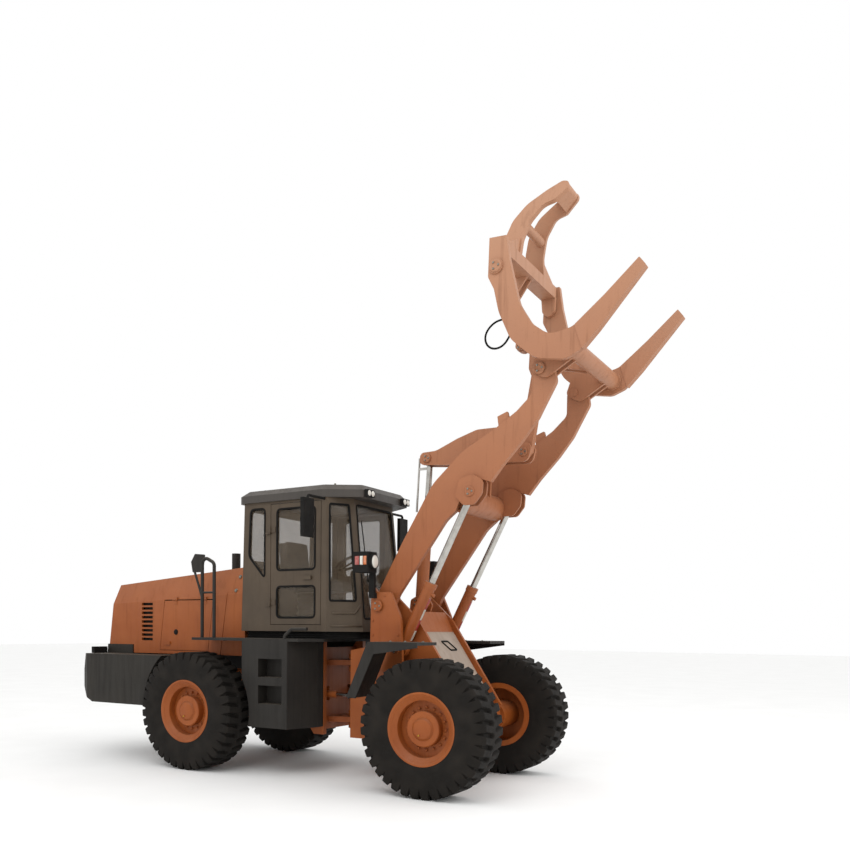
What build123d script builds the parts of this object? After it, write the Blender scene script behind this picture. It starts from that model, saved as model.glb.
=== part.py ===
from build123d import *
import math
import os

os.makedirs("parts", exist_ok=True)

# An articulated wheel loader with a log fork and top clamp. Millimetres, X forward, Y to the left, Z up,
# with the origin on the ground midway between the axles.

# Wheels
WHEELBASE = 3000
TRACK = 1880
TYRE_R = 667
TYRE_WIDTH = 445
TREAD_DEPTH = 36
LUGS = 36
LUG_WIDTH = 74
SIDEWALL_R = 505
SHOULDER = 34
BEAD_R = 318
BEAD_LIP = 40
BEAD_GAP = 0.3
RIM_WIDTH = 400
HUB_R = 172
LIP_R = 274
SPINDLE_R = 70
RUN_FIT = 0.05

# Pins and pivots of the working arm at rest, as (X, Z)
STEER_X = 110
BOOM_PIN = (720, 1850)
TIP_PIN = (2400, 4040)
LIFT_FOOT = (940, 1400)
LIFT_EYE = (1710, 2960)
ROCKER_PIN = (1550, 3450)
ROCKER_REAR = (990, 3430)
ROCKER_FRONT = (2060, 3390)
TILT_FOOT = (900, 1900)
LINK_TOP = (2190, 4180)
CLAMP_PIN = (2040, 4985)
CLAMP_FOOT = (2010, 4440)
CLAMP_EYE = (1859, 4900)

# Half-widths and plate bands across the machine, as (inner Y, outer Y)
ARM_BAND = (470, 530)
TOWER_INNER = (385, 425)
TOWER_OUTER = (575, 615)
FORK_BAND = (700, 760)
TINE_BAND = (685, 775)
TIP_CHEEKS = ((435, 462), (538, 565))
ROCKER_BAND = (45, 78)
ROCKER_CHEEK = (86, 120)
TILT_LUGS = (74, 104)
CENTRE_EYE = 38
RAIL_BAND = (380, 440)
SIDE_GAP = 6

# Cab
CAB_HALF = 700
CAB_REAR = (-1030, -990)
CAB_SHOULDER = 130
CAB_NOSE = ((440, CAB_HALF - 250), (287, CAB_HALF - 286))
CAB_Z = (1580, 3010)
CAB_WALL = 40
CAB_CUT = (CAB_HALF - 100, CAB_HALF + 60)
ROOF_Z = (3010, 3150)
GLASS_T = 8
GLASS_SET = 16
DOOR_X = (-620, 60)
DOOR_Z = (1650, 2985)
DOOR_GAP = 6

# Rear body
HOOD_HALF = 600
HOOD_WALL = 30
HOOD_BASE = 1290
HOOD_FRONT = -1060
HOOD_REAR = -3310
DECK_Z = (1470, 1500)
ARCH_R = 785
WEIGHT_HALF = 1000


def block(x, y, z):
    """A box between pairs of limits on each axis."""
    size = [hi - lo for lo, hi in (x, y, z)]
    centre = [(lo + hi) / 2 for lo, hi in (x, y, z)]
    return Pos(*centre) * Box(*size)


def outline_face(corners):
    """A flat face from corners (u, v) or (u, v, radius), with tangent arcs at the rounded ones."""
    count = len(corners)
    ends = []
    for i, corner in enumerate(corners):
        here = Vector(corner[0], corner[1])
        radius = corner[2] if len(corner) > 2 else 0
        if not radius:
            ends.append((here, None, here))
            continue
        back = (Vector(*corners[i - 1][:2]) - here).normalized()
        ahead = (Vector(*corners[(i + 1) % count][:2]) - here).normalized()
        half = math.acos(max(-1, min(1, back.dot(ahead)))) / 2
        reach = radius / math.tan(half)
        middle = (back + ahead).normalized()
        top = here + middle * (radius / math.sin(half) - radius)
        ends.append((here + back * reach, top, here + ahead * reach))
    edges = []
    for i, (start, top, end) in enumerate(ends):
        if top is not None:
            edges.append(ThreePointArc(start, top, end))
        after = ends[(i + 1) % count][0]
        if (after - end).length > 1e-6:
            edges.append(Line(end, after))
    return make_face(edges)


def side_plate(corners, y):
    """An outline in X and Z, drawn out across the machine between two Y limits."""
    plane = Plane(origin=(0, y[1], 0), x_dir=(1, 0, 0), z_dir=(0, -1, 0))
    return extrude(plane * outline_face(corners), amount=y[1] - y[0], dir=(0, -1, 0))


def plan_plate(corners, z):
    """An outline in X and Y, drawn up between two Z limits."""
    return extrude(Pos(0, 0, z[0]) * outline_face(corners), amount=z[1] - z[0], dir=(0, 0, 1))


def rod(start, end, radius):
    """A round bar between two points."""
    axis = Vector(*end) - Vector(*start)
    bar = Cylinder(radius, axis.length, align=(Align.CENTER, Align.CENTER, Align.MIN))
    return Plane(origin=start, z_dir=axis) * bar


def pin(at, radius, y):
    """A round bar across the machine at (X, Z), between two Y limits."""
    return rod((at[0], y[0], at[1]), (at[0], y[1], at[1]), radius)


def tube_path(points, radius, bend):
    """A bent round tube through the points."""
    path = FilletPolyline(*points, radius=bend) if len(points) > 2 else Polyline(*points)
    profile = Plane(origin=path @ 0, z_dir=path % 0) * Circle(radius)
    return sweep(profile, path=path)


def both(shape):
    """The shape and its mirror image on the other side of the machine."""
    return shape + mirror(shape, about=Plane.XZ)


def other(shape):
    return mirror(shape, about=Plane.XZ)


def toward(start, end, distance):
    """The point at a distance from start on the line to end, in X and Z."""
    length = math.dist(start, end)
    return tuple(a + (b - a) * distance / length for a, b in zip(start, end))


def barrel(foot, eye, length, radius, foot_r, y):
    """A cylinder's barrel: foot eye with its bore, tube, gland ring and port boss."""
    (foot_y0, foot_y1), centre_y = y, sum(y) / 2
    gland = toward(foot, eye, length)
    start = toward(foot, eye, foot_r * 0.6)
    ring = toward(foot, eye, length - radius * 0.9)
    port = toward(foot, eye, length * 0.86)
    ends = [(p[0], centre_y, p[1]) for p in (start, gland, ring, port)]
    across = Vector(eye[1] - foot[1], 0, foot[0] - eye[0]).normalized()
    body = rod(ends[0], ends[1], radius) + rod(ends[2], ends[1], radius * 1.1)
    body += pin(foot, foot_r, (foot_y0, foot_y1))
    body += rod(ends[3], tuple(Vector(*ends[3]) + across * radius * 1.45), radius * 0.32)
    return body, ends


def ram(foot, eye, length, closed, radius, eye_r, y):
    """A cylinder's rod: from inside its barrel to the eye."""
    centre_y = sum(y) / 2
    inner = toward(foot, eye, length - closed)
    tip = toward(foot, eye, math.dist(foot, eye))
    bar = rod((inner[0], centre_y, inner[1]), (tip[0], centre_y, tip[1]), radius)
    return bar + pin(eye, eye_r, y)


def bored(body, foot, eye, length, closed, radius, y):
    """The barrel with the hollow that its rod slides in."""
    centre_y = sum(y) / 2
    inner = toward(foot, eye, length - closed - 20)
    gland = toward(foot, eye, length + 1)
    hollow = rod((inner[0], centre_y, inner[1]), (gland[0], centre_y, gland[1]), radius + RUN_FIT)
    return body - hollow


# Wheels: a tyre with bar lugs on a deep-dish rim with its planetary hub
half = TYRE_WIDTH / 2
bead_y = RIM_WIDTH / 2 - 14
tread_r = TYRE_R - TREAD_DEPTH


def ring_face(apothem, y):
    """A flat-sided ring outline across the wheel's axis, with one flat facing the ground."""
    plane = Plane(origin=(0, y, 0), x_dir=(1, 0, 0), z_dir=(0, -1, 0))
    return plane * RegularPolygon(apothem, LUGS, major_radius=False, rotation=180 / LUGS)


carcass_sections = (  # distance from the axle to a flat, Y
    (BEAD_R + BEAD_LIP, -bead_y),
    (SIDEWALL_R, -half),
    (tread_r, -half + 12),
    (tread_r, half - 12),
    (SIDEWALL_R, half),
    (BEAD_R + BEAD_LIP, bead_y),
)
carcass = loft([ring_face(apothem, y) for apothem, y in carcass_sections], ruled=True)
carcass -= extrude(ring_face(BEAD_R, bead_y + 1), amount=2 * bead_y + 2, dir=(0, -1, 0))
lug_edge = half - 14
lug_profile = [(tread_r - 6, lug_edge), (tread_r + 8, lug_edge), (TYRE_R, half - SHOULDER),
               (TYRE_R, SHOULDER - half), (tread_r + 8, -lug_edge), (tread_r - 6, -lug_edge)]
bar = extrude(Pos(0, 0, -LUG_WIDTH / 2) * outline_face(lug_profile), amount=LUG_WIDTH, dir=(0, 0, 1))
tyre = carcass + [Rot(0, i * 360 / LUGS, 0) * bar for i in range(LUGS)]

flange_y = RIM_WIDTH / 2
rim_corners = [
    (BEAD_R - BEAD_GAP, -flange_y + 14 - BEAD_GAP),
    (BEAD_R + 36, -flange_y + 14 - BEAD_GAP),
    (BEAD_R + 36, -flange_y),
    (BEAD_R - 22, -flange_y),
    (BEAD_R - 22, 30),
    (SPINDLE_R + RUN_FIT, 30),
    (SPINDLE_R + RUN_FIT, 150),
    (HUB_R - 8, 150),
    (HUB_R, 142),
    (HUB_R, 60),
    (LIP_R, 60),
    (LIP_R, 150),
    (BEAD_R + 20, flange_y),
    (BEAD_R + 36, flange_y),
    (BEAD_R + 36, flange_y - 14 + BEAD_GAP),
    (BEAD_R - BEAD_GAP, flange_y - 14 + BEAD_GAP),
]
rim = revolve(Plane.XY * outline_face(rim_corners), axis=Axis.Y)

parts = {}
for end, x in (("front", WHEELBASE / 2), ("rear", -WHEELBASE / 2)):
    for side, sign in (("left", 1), ("right", -1)):
        place = Pos(x, sign * TRACK / 2, TYRE_R)
        turned = place if sign > 0 else place * Rot(0, 0, 180)
        parts[f"tyre_{end}_{side}"] = turned * tyre
        parts[f"rim_{end}_{side}"] = turned * rim

# Axles: a centre bowl, tapered arms, brake drums and the spindles that carry the hubs
def axle(x, pad_z):
    hub_y = TRACK / 2 + 30
    body = pin((x, TYRE_R), 105, (-560, 560))
    body += rod((x - 200, 0, TYRE_R), (x + 200, 0, TYRE_R), 190)
    for sign in (1, -1):
        inner = hub_y - 12
        body += rod((x, sign * 540, TYRE_R), (x, sign * inner, TYRE_R), 150)
        body += rod((x, sign * inner, TYRE_R), (x, sign * (hub_y + 110), TYRE_R), SPINDLE_R)
    for sign in (1, -1):
        lo, hi = sorted((sign * 330, sign * 470))
        body += block((x - 130, x + 130), (lo, hi), (TYRE_R, pad_z))
    return body


RAIL_Z = (800, 1130)
parts["rear_axle"] = axle(-WHEELBASE / 2, RAIL_Z[0])
parts["front_axle"] = axle(WHEELBASE / 2, 800)

# Rear frame: two rails, columns and bulkhead at the steering joint, engine bearers
LUG_Z = ((560, 620), (1200, 1260))
rail_corners = [(-2880, RAIL_Z[0]), (-2880, RAIL_Z[1]), (-400, RAIL_Z[1]), (-160, 1470), (-70, 1470), (-70, 440),
                (-200, 440), (-460, RAIL_Z[0])]
rear_frame = both(side_plate(rail_corners, RAIL_BAND))
rear_frame += block((-220, -160), (-RAIL_BAND[0], RAIL_BAND[0]), (480, 1400))
for x in (-2860, -1990, -820):
    rear_frame += block((x, x + 60), (-RAIL_BAND[0], RAIL_BAND[0]), (RAIL_Z[0] + 10, RAIL_Z[0] + 130))
STEER_R = 50
for z in LUG_Z:
    lug = plan_plate([(-170, 220), (-170, -220), (STEER_X, -120), (STEER_X, 120)], z)
    lug += rod((STEER_X, 0, z[0]), (STEER_X, 0, z[1]), 120)
    rear_frame += lug - rod((STEER_X, 0, z[0] - 1), (STEER_X, 0, z[1] + 1), STEER_R + RUN_FIT)

# Steering cylinders: feet on the rear bulkhead, eyes on the front bulkhead
STEER_Z = 880
STEER_FOOT = (-420, 290)
STEER_EYE = (300, 280)
STEER_BARREL = 430
STEER_BORE_FROM = 50
STEER_ROD_FROM = 240
STEER_ROD_R = 22
STEER_PIN_R = 16
for z in ((STEER_Z - 70, STEER_Z - 42), (STEER_Z + 42, STEER_Z + 70)):
    rear_frame += both(block((STEER_FOOT[0] - 40, STEER_FOOT[0] + 45), (STEER_FOOT[1] - 40, RAIL_BAND[0]), z))
for sign in (1, -1):
    foot = (STEER_FOOT[0], sign * STEER_FOOT[1])
    rear_frame += rod((*foot, STEER_Z - 70), (*foot, STEER_Z + 70), STEER_PIN_R)
slot = both(block((-240, -140), (STEER_FOOT[1] - 100, RAIL_BAND[0]), (STEER_Z - 80, STEER_Z + 80)))
rear_frame -= slot
parts["rear_frame"] = rear_frame


def flat_cylinder(sign):
    """A steering cylinder lying level: its barrel and rod."""
    foot = (STEER_FOOT[0], STEER_FOOT[1] * sign)
    eye = (STEER_EYE[0], STEER_EYE[1] * sign)

    def at(distance):
        return (*toward(foot, eye, distance), STEER_Z)

    body = rod(at(20), at(STEER_BARREL), 38) + rod((*foot, STEER_Z - 40), (*foot, STEER_Z + 40), 38)
    body -= rod(at(STEER_BORE_FROM), at(STEER_BARREL + 1), STEER_ROD_R + RUN_FIT)
    body -= rod((*foot, STEER_Z - 50), (*foot, STEER_Z + 50), STEER_PIN_R + RUN_FIT)
    bar = rod(at(STEER_ROD_FROM), (*eye, STEER_Z), STEER_ROD_R)
    bar += rod((*eye, STEER_Z - 30), (*eye, STEER_Z + 30), 36)
    return body, bar


parts["steer_barrel_left"], parts["steer_rod_left"] = flat_cylinder(1)
parts["steer_barrel_right"], parts["steer_rod_right"] = flat_cylinder(-1)

# Front frame: bulkhead, steering lugs and pins, tower plates, axle seat and sloping deck
TOWER_FLOOR = (1190, 1230)
TOWER_NOSE = ((1080, 1720), (1674, 806))
inner_corners = [(270, 430), (270, 1380), (600, 1440), (630, 2000, 40), (690, 2040, 30), (760, 2020, 60),
                 (*TOWER_NOSE[0], 30), TOWER_NOSE[1], (1250, 800), (1000, 430, 60)]
outer_corners = [(625, TOWER_FLOOR[1]), (638, 2080, 12), (712, 1995, 12), (868, 1992, 30), (972, 1762, 60),
                 (993, 1681, 40), (1010, TOWER_FLOOR[1])]
front_frame = both(side_plate(inner_corners, TOWER_INNER)) + both(side_plate(outer_corners, TOWER_OUTER))
front_frame += both(block((625, 1010), (TOWER_INNER[1], TOWER_OUTER[1]), TOWER_FLOOR))
front_frame += block((380, 420), (-TOWER_INNER[0], TOWER_INNER[0]), (480, 1380))
deck_slope = [(970, 1790), (1000, 1800), (1094, 1600), (1566, 880), (1530, 880), (1058, 1597)]
front_frame += side_plate(deck_slope, (-TOWER_INNER[0], TOWER_INNER[0]))
front_frame += pin((870, 1690), 85, (-TOWER_INNER[0], TOWER_INNER[0]))
for z in LUG_Z:
    for cheek in ((z[0] - 70, z[0] - 10), (z[1] + 10, z[1] + 70)):
        front_frame += plan_plate([(400, 220), (400, -220), (STEER_X, -110), (STEER_X, 110)], cheek)
        front_frame += rod((STEER_X, 0, cheek[0]), (STEER_X, 0, cheek[1]), 110)
    front_frame += rod((STEER_X, 0, z[0] - 75), (STEER_X, 0, z[1] + 75), STEER_R)
for z in ((STEER_Z - 62, STEER_Z - 34), (STEER_Z + 34, STEER_Z + 62)):
    front_frame += both(block((STEER_EYE[0] - 40, 385), (STEER_EYE[1] - 40, STEER_EYE[1] + 40), z))
for at, radius in ((BOOM_PIN, 45), (LIFT_FOOT, 34)):
    front_frame += both(pin(at, radius, (TOWER_INNER[0] - 20, TOWER_OUTER[1] + 20)))
tilt_lug = [(800, 1690), (TILT_FOOT[0] - 75, TILT_FOOT[1] + 30, 40), (TILT_FOOT[0] + 20, TILT_FOOT[1] + 80, 50),
            (TILT_FOOT[0] + 90, TILT_FOOT[1] - 20, 40), (940, 1690)]
front_frame += both(side_plate(tilt_lug, TILT_LUGS))
front_frame += pin(TILT_FOOT, 32, (-TILT_LUGS[1] - 12, TILT_LUGS[1] + 12))
parts["front_frame"] = front_frame

# Front fenders: angular plates with a rear slope and an outer lip, on stays from the tower
FENDER_BAND = (660, 1075)
FENDER_TOP = 1485
fender_corners = [(655, 915), (888, FENDER_TOP - 30), (1420, FENDER_TOP - 30), (1420, FENDER_TOP),
                  (870, FENDER_TOP), (630, 930)]
lip_corners = [(630, 930), (870, FENDER_TOP), (1420, FENDER_TOP), (1420, FENDER_TOP - 52),
               (940, FENDER_TOP - 120), (735, 920)]
fender = side_plate(fender_corners, FENDER_BAND)
fender += side_plate(lip_corners, (FENDER_BAND[1] - 15, FENDER_BAND[1]))
fender += block((900, 990), (TOWER_OUTER[1], FENDER_BAND[0] + 10), (FENDER_TOP - 45, FENDER_TOP - 28))
parts["front_fenders"] = both(fender)

# Headlamps on brackets from the tower
lamp = block((540, 720), (650, 830), (2190, 2400)) + rod((720, 740, 2300), (745, 740, 2300), 78)
lamp += block((645, 705), (TOWER_OUTER[1], 660), (1930, 1985)) + block((645, 705), (640, 680), (1930, 2200))
parts["headlamps"] = both(lamp)

# Counterweight: a rear casting with wings round the rear tyres
weight_corners = [(-2880, 1280), (-3330, 1280), (-3400, 1080), (-3400, 860, 60), (-3300, 740, 60), (-3180, 680),
                  (-2880, 680)]
weight = side_plate(weight_corners, (-WEIGHT_HALF, WEIGHT_HALF))
weight += side_plate([(-2880, 1280), (-3340, 1280), (-3330, 1395), (-2880, 1395)], (-HOOD_HALF, HOOD_HALF))
wing = side_plate([(-2880, 1280), (-1900, 1280), (-1900, 680), (-2880, 680)], (620, WEIGHT_HALF))
weight += both(wing - pin((-WHEELBASE / 2, TYRE_R), ARCH_R, (500, 1200)))
corner_cut = plan_plate([(-3600, 820), (-3200, 1040), (-3600, 1040)], (600, 1300))
weight -= both(corner_cut)
TOW_R = 30
tow_slot = block((-3500, -3240), (-160, 160), (790, 930))
weight -= tow_slot
weight -= rod((-3320, 0, 600), (-3320, 0, 1200), TOW_R)
parts["counterweight"] = weight

# Engine with its gearbox: a plain block between the rails
parts["engine_block"] = block((-2700, -1620), (-330, 330), (RAIL_Z[0] + 130, 1880))

# Hood: a lofted shell with door openings, side vents and a rear grille opening
hood_sections = (  # X, base half-width, shoulder Z, top half-width, top Z
    (HOOD_REAR - 20, HOOD_HALF, 1900, 500, 2140),
    (HOOD_FRONT, HOOD_HALF, 2010, 520, 2320),
)


def hood_loft(inset, x_trim, base):
    faces = []
    for (x, wide, shoulder, top_wide, top), trim in zip(hood_sections, x_trim):
        points = [(-wide + inset, base), (-wide + inset, shoulder), (-top_wide + inset, top - inset),
                  (top_wide - inset, top - inset), (wide - inset, shoulder), (wide - inset, base)]
        plane = Plane(origin=(x + trim, 0, 0), x_dir=(0, 1, 0), z_dir=(1, 0, 0))
        faces.append(plane * outline_face(points))
    return loft(faces, ruled=True)


HOOD_DOOR_X = (-2370, -1580)
HOOD_DOOR_Z = (1330, 1950)
HOOD_LEAN = 40
rear_cut = side_plate([(-3600, 1200), (-3325, 1200), (-3190, 2200), (-3600, 2200)], (-800, 800))
HOOD_INNER_REAR = HOOD_REAR + 70
hood = hood_loft(0, (0, 0), HOOD_BASE) - rear_cut
hood -= hood_loft(HOOD_WALL, (90, -HOOD_WALL), HOOD_BASE - 50)
hood -= block((-3500, -2860), (-HOOD_HALF - 5, HOOD_HALF + 5), (HOOD_BASE - 10, 1395))


def hood_door_outline(gap):
    (x0, x1), (z0, z1) = HOOD_DOOR_X, HOOD_DOOR_Z
    top = z1 - 2 * gap
    return [(x0 - HOOD_LEAN + gap, z0 + gap), (x0 + HOOD_LEAN + gap, top), (x1 + HOOD_LEAN - gap, top),
            (x1 - HOOD_LEAN - gap, z0 + gap)]


hood -= both(side_plate(hood_door_outline(0), (540, 640)))
SEAM = 8
seam = [(-1434, HOOD_BASE - 1), (-1322, 2060), (-1322 + SEAM, 2060), (-1434 + SEAM, HOOD_BASE - 1)]
hood -= both(side_plate(seam, (HOOD_HALF - SEAM, HOOD_HALF + SEAM)))
VENT_X = (-2720, -2530)
VENT_Z = (1440, 1930)
vent_count = 9
vent_pitch = (VENT_Z[1] - VENT_Z[0]) / vent_count
for i in range(vent_count):
    low = VENT_Z[0] + i * vent_pitch
    hood -= both(block(VENT_X, (560, 640), (low + 8, low + vent_pitch - 14)))
GRILLE_Y = 430
GRILLE_Z = (1460, 2040)
hood -= block((-3500, -2900), (-GRILLE_Y, GRILLE_Y), GRILLE_Z)
HOOD_HINGE = (HOOD_HALF + 11, HOOD_DOOR_Z[1])
HINGE_X = (-2150, -1680)
KNUCKLE = 60
HINGE_PIN_R = 6
for x in HINGE_X:
    end = x + KNUCKLE / 2
    ear = block((end + 2, end + 16), (HOOD_HALF, HOOD_HALF + 21), (HOOD_HINGE[1], HOOD_HINGE[1] + 26))
    ear += rod((end + 2, *HOOD_HINGE), (end + 16, *HOOD_HINGE), 10)
    ear += rod((x - KNUCKLE / 2, *HOOD_HINGE), (end + 4, *HOOD_HINGE), HINGE_PIN_R)
    hood += both(ear)
parts["hood"] = hood

# Rear grille: a frame with level slats, set in the hood's rear opening
GRILLE_X = (HOOD_INNER_REAR, HOOD_INNER_REAR + 20)
grille = block(GRILLE_X, (-GRILLE_Y - 25, GRILLE_Y + 25), (GRILLE_Z[0] - 25, GRILLE_Z[1] + 25))
grille -= block((GRILLE_X[0] - 1, GRILLE_X[1] + 1), (-GRILLE_Y + 30, GRILLE_Y - 30),
                (GRILLE_Z[0] + 30, GRILLE_Z[1] - 30))
slats = 9
for i in range(slats):
    z = GRILLE_Z[0] + 30 + (GRILLE_Z[1] - GRILLE_Z[0] - 60) * (i + 0.5) / slats
    grille += block((GRILLE_X[0] + 2, GRILLE_X[1] - 2), (-GRILLE_Y + 25, GRILLE_Y - 25), (z - 15, z + 15))
parts["rear_grille"] = grille

# Hood side doors, hung from their top edge
for side, sign in (("left", 1), ("right", -1)):
    band = (HOOD_HALF - HOOD_WALL, HOOD_HALF)
    door = side_plate(hood_door_outline(DOOR_GAP), band)
    door += block((-2310, -2230), (HOOD_HALF - 2, HOOD_HALF + 14), (1400, 1440))
    for x in HINGE_X:
        door += rod((x - KNUCKLE / 2, *HOOD_HINGE), (x + KNUCKLE / 2, *HOOD_HINGE), 11)
        leaf_z = (HOOD_HINGE[1] - 60, HOOD_HINGE[1] - 4)
        door += block((x - KNUCKLE / 2, x + KNUCKLE / 2), (HOOD_HALF - 4, HOOD_HALF + 5), leaf_z)
        door -= rod((x - KNUCKLE, *HOOD_HINGE), (x + KNUCKLE, *HOOD_HINGE), HINGE_PIN_R + RUN_FIT)
    parts[f"hood_door_{side}"] = door if sign > 0 else other(door)

# Exhaust: a stack through the hood top
EXHAUST = (-1900, 250)
EXHAUST_R = 55
parts["exhaust"] = rod((*EXHAUST, 1880), (*EXHAUST, 2560), EXHAUST_R)
parts["hood"] -= rod((*EXHAUST, 2100), (*EXHAUST, 2400), EXHAUST_R + BEAD_GAP)

# Cab: a hollow shell with its windows and door ways cut
def cab_loft(inset, z0, z1):
    faces = []
    for z, level in ((z0, 0), (z1, 1)):
        share = (z - CAB_Z[0]) / (CAB_Z[1] - CAB_Z[0])
        rear = CAB_REAR[0] + (CAB_REAR[1] - CAB_REAR[0]) * share + inset
        nose_x = CAB_NOSE[0][0] + (CAB_NOSE[1][0] - CAB_NOSE[0][0]) * share - inset
        nose_y = CAB_NOSE[0][1] + (CAB_NOSE[1][1] - CAB_NOSE[0][1]) * share - inset * 0.6
        side = CAB_HALF - inset
        shoulder = CAB_SHOULDER - inset * 0.4
        points = [(rear, -side), (shoulder, -side), (nose_x, -nose_y), (nose_x, nose_y), (shoulder, side),
                  (rear, side)]
        faces.append(Pos(0, 0, z) * outline_face(points))
    return loft(faces, ruled=True)


cab_shell = cab_loft(0, *CAB_Z) - cab_loft(CAB_WALL, CAB_Z[0] + CAB_WALL, CAB_Z[1] + 5)
side_window = [(-900, 2940, 40), (-700, 2940, 40), (-700, 2170, 40), (-925, 2420, 40)]
corner_frame = Plane(origin=(CAB_SHOULDER, -CAB_HALF, 0), x_dir=(0.72, 0.69, 0), z_dir=(0.69, -0.72, 0))
corner_window = [(35, 1910, 40), (35, 2940, 40), (250, 2940, 40), (330, 1910, 40)]
corner_cut = extrude(corner_frame * outline_face(corner_window), amount=200, both=True)
screen_frame = Plane(origin=(0, 0, 0), x_dir=(0, 1, 0), z_dir=(1, 0, 0))
low_y, high_y = CAB_NOSE[0][1] - 45, CAB_NOSE[1][1] - 39
screen = [(-low_y, 1720, 40), (-high_y, 2950, 40), (high_y, 2950, 40), (low_y, 1720, 40)]
screen_cut = extrude(screen_frame * outline_face(screen), amount=700, dir=(1, 0, 0))
back_y = CAB_HALF - 100
back_window = [(-back_y, 2380, 60), (-back_y, 2930, 60), (back_y, 2930, 60), (back_y, 2380, 60)]
back_cut = extrude(screen_frame * outline_face(back_window), amount=-1300, dir=(1, 0, 0))
window_cuts = [both(side_plate(side_window, CAB_CUT)), both(corner_cut), screen_cut, back_cut]
door_way = both(side_plate([(DOOR_X[0], DOOR_Z[0]), (DOOR_X[1], DOOR_Z[0]), (DOOR_X[1], DOOR_Z[1]),
                            (DOOR_X[0], DOOR_Z[1])], CAB_CUT))
cab_frame = cab_shell - window_cuts - door_way
DOOR_HINGE = (DOOR_X[0], CAB_HALF + 14)
DOOR_HINGE_Z = (1900, 2700)
for z in DOOR_HINGE_Z:
    low = z - KNUCKLE / 2
    ear = block((DOOR_X[0] - 55, DOOR_X[0] + 8), (CAB_HALF, CAB_HALF + 26), (low - 16, low - 2))
    ear += rod((*DOOR_HINGE, low - 4), (*DOOR_HINGE, low + KNUCKLE), HINGE_PIN_R)
    cab_frame += both(ear)
parts["cab_frame"] = cab_frame
glass_shell = cab_loft(GLASS_SET, CAB_Z[0], CAB_Z[1]) - cab_loft(GLASS_SET + GLASS_T, CAB_Z[0] - 5, CAB_Z[1] + 5)
panes = [glass_shell & cut for cut in window_cuts]
parts["cab_glass"] = Compound(children=[solid for pane in panes for solid in pane.solids()])

# Cab doors with upper and lower windows, hinged at their rear edge
DOOR_BAND = (CAB_HALF - CAB_WALL, CAB_HALF)
upper_window = [(DOOR_X[0] + 90, 2250, 50), (DOOR_X[0] + 90, 2920, 50), (DOOR_X[1] - 80, 2920, 50),
                (DOOR_X[1] - 80, 2250, 50)]
lower_window = [(DOOR_X[0] + 90, 1730, 50), (DOOR_X[0] + 90, 2070, 50), (DOOR_X[1] - 80, 2070, 50),
                (DOOR_X[1] - 80, 1730, 50)]
door_cuts = side_plate(upper_window, CAB_CUT) + side_plate(lower_window, CAB_CUT)
door = block((DOOR_X[0] + DOOR_GAP, DOOR_X[1] - DOOR_GAP), DOOR_BAND, (DOOR_Z[0] + DOOR_GAP, DOOR_Z[1] - DOOR_GAP))
door -= door_cuts
door += block((-170, -60), (CAB_HALF - 2, CAB_HALF + 26), (2140, 2180))
for z in DOOR_HINGE_Z:
    low = z - KNUCKLE / 2
    door += rod((*DOOR_HINGE, low), (*DOOR_HINGE, low + KNUCKLE), 13)
    door += block((DOOR_X[0] + DOOR_GAP, DOOR_X[0] + 70), (CAB_HALF - 4, CAB_HALF + 8), (low, low + KNUCKLE))
    door -= rod((*DOOR_HINGE, low - 1), (*DOOR_HINGE, low + KNUCKLE + 1), HINGE_PIN_R + RUN_FIT)
pane_band = (CAB_HALF - GLASS_SET - GLASS_T, CAB_HALF - GLASS_SET)
door_glass = side_plate(upper_window, pane_band) + side_plate(lower_window, pane_band)
for side, sign in (("left", 1), ("right", -1)):
    parts[f"cab_door_{side}"] = door if sign > 0 else other(door)
    parts[f"door_glass_{side}"] = door_glass if sign > 0 else other(door_glass)

# Cab roof: a raised panel with a front visor, and its lamps


def roof_outline(rear, shoulder, front, side, nose):
    """A roof outline with rounded corners: X of its rear, shoulder and front, and its two half-widths."""
    return [(rear, -side, 80), (shoulder, -side, 80), (front, -nose, 60), (front, nose, 60), (shoulder, side, 80),
            (rear, side, 80)]


roof_low = roof_outline(-1060, 90, 450, CAB_HALF + 30, CAB_HALF - 210)
roof_high = roof_outline(-1000, 70, 400, CAB_HALF - 40, CAB_HALF - 270)
roof = plan_plate(roof_low, (ROOF_Z[0], ROOF_Z[0] + 80))
roof += loft([Pos(0, 0, ROOF_Z[0] + 80) * outline_face(roof_low), Pos(0, 0, ROOF_Z[1]) * outline_face(roof_high)],
             ruled=True)
parts["cab_roof"] = roof
lamps = [block((450, 490), (s * 390 - 75, s * 390 + 75), (3020, 3095)) for s in (1, -1)]
lamps += [block((-3380, -3330), (s * 720 - 110, s * 720 + 110), (1280, 1360)) for s in (1, -1)]
parts["lamps"] = Compound(children=[solid for lamp_box in lamps for solid in lamp_box.solids()])

# Seat and console inside the cab
FLOOR = CAB_Z[0] + CAB_WALL
seat_corners = [(-680, FLOOR), (-680, 2020), (-820, 2020), (-870, 2620, 60), (-740, 2640, 60), (-640, 2140),
                (-230, 2160, 50), (-230, 2010, 40), (-320, 2010), (-380, FLOOR)]
parts["seat"] = side_plate(seat_corners, (-250, 250))
console = side_plate([(120, FLOOR), (40, 2260, 30), (110, 2270, 30), (260, FLOOR)], (-90, 90))
grip = revolve(Plane.XZ * Pos(190, 0) * RegularPolygon(16, 8), axis=Axis.Z)
wheel_ring = Plane(origin=(20, 0, 2370), z_dir=(-0.45, 0, 0.89)) * grip
console += rod((75, 0, 2240), (20, 0, 2370), 20)
spokes = [rod((20, 0, 2370), tuple(Vector(20, 0, 2370) + Vector(0.89 * math.cos(a), math.sin(a), 0.45 * math.cos(a))
                                   * 190), 10) for a in (math.pi, math.pi / 3, -math.pi / 3)]
parts["console"] = console + wheel_ring + spokes

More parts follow.
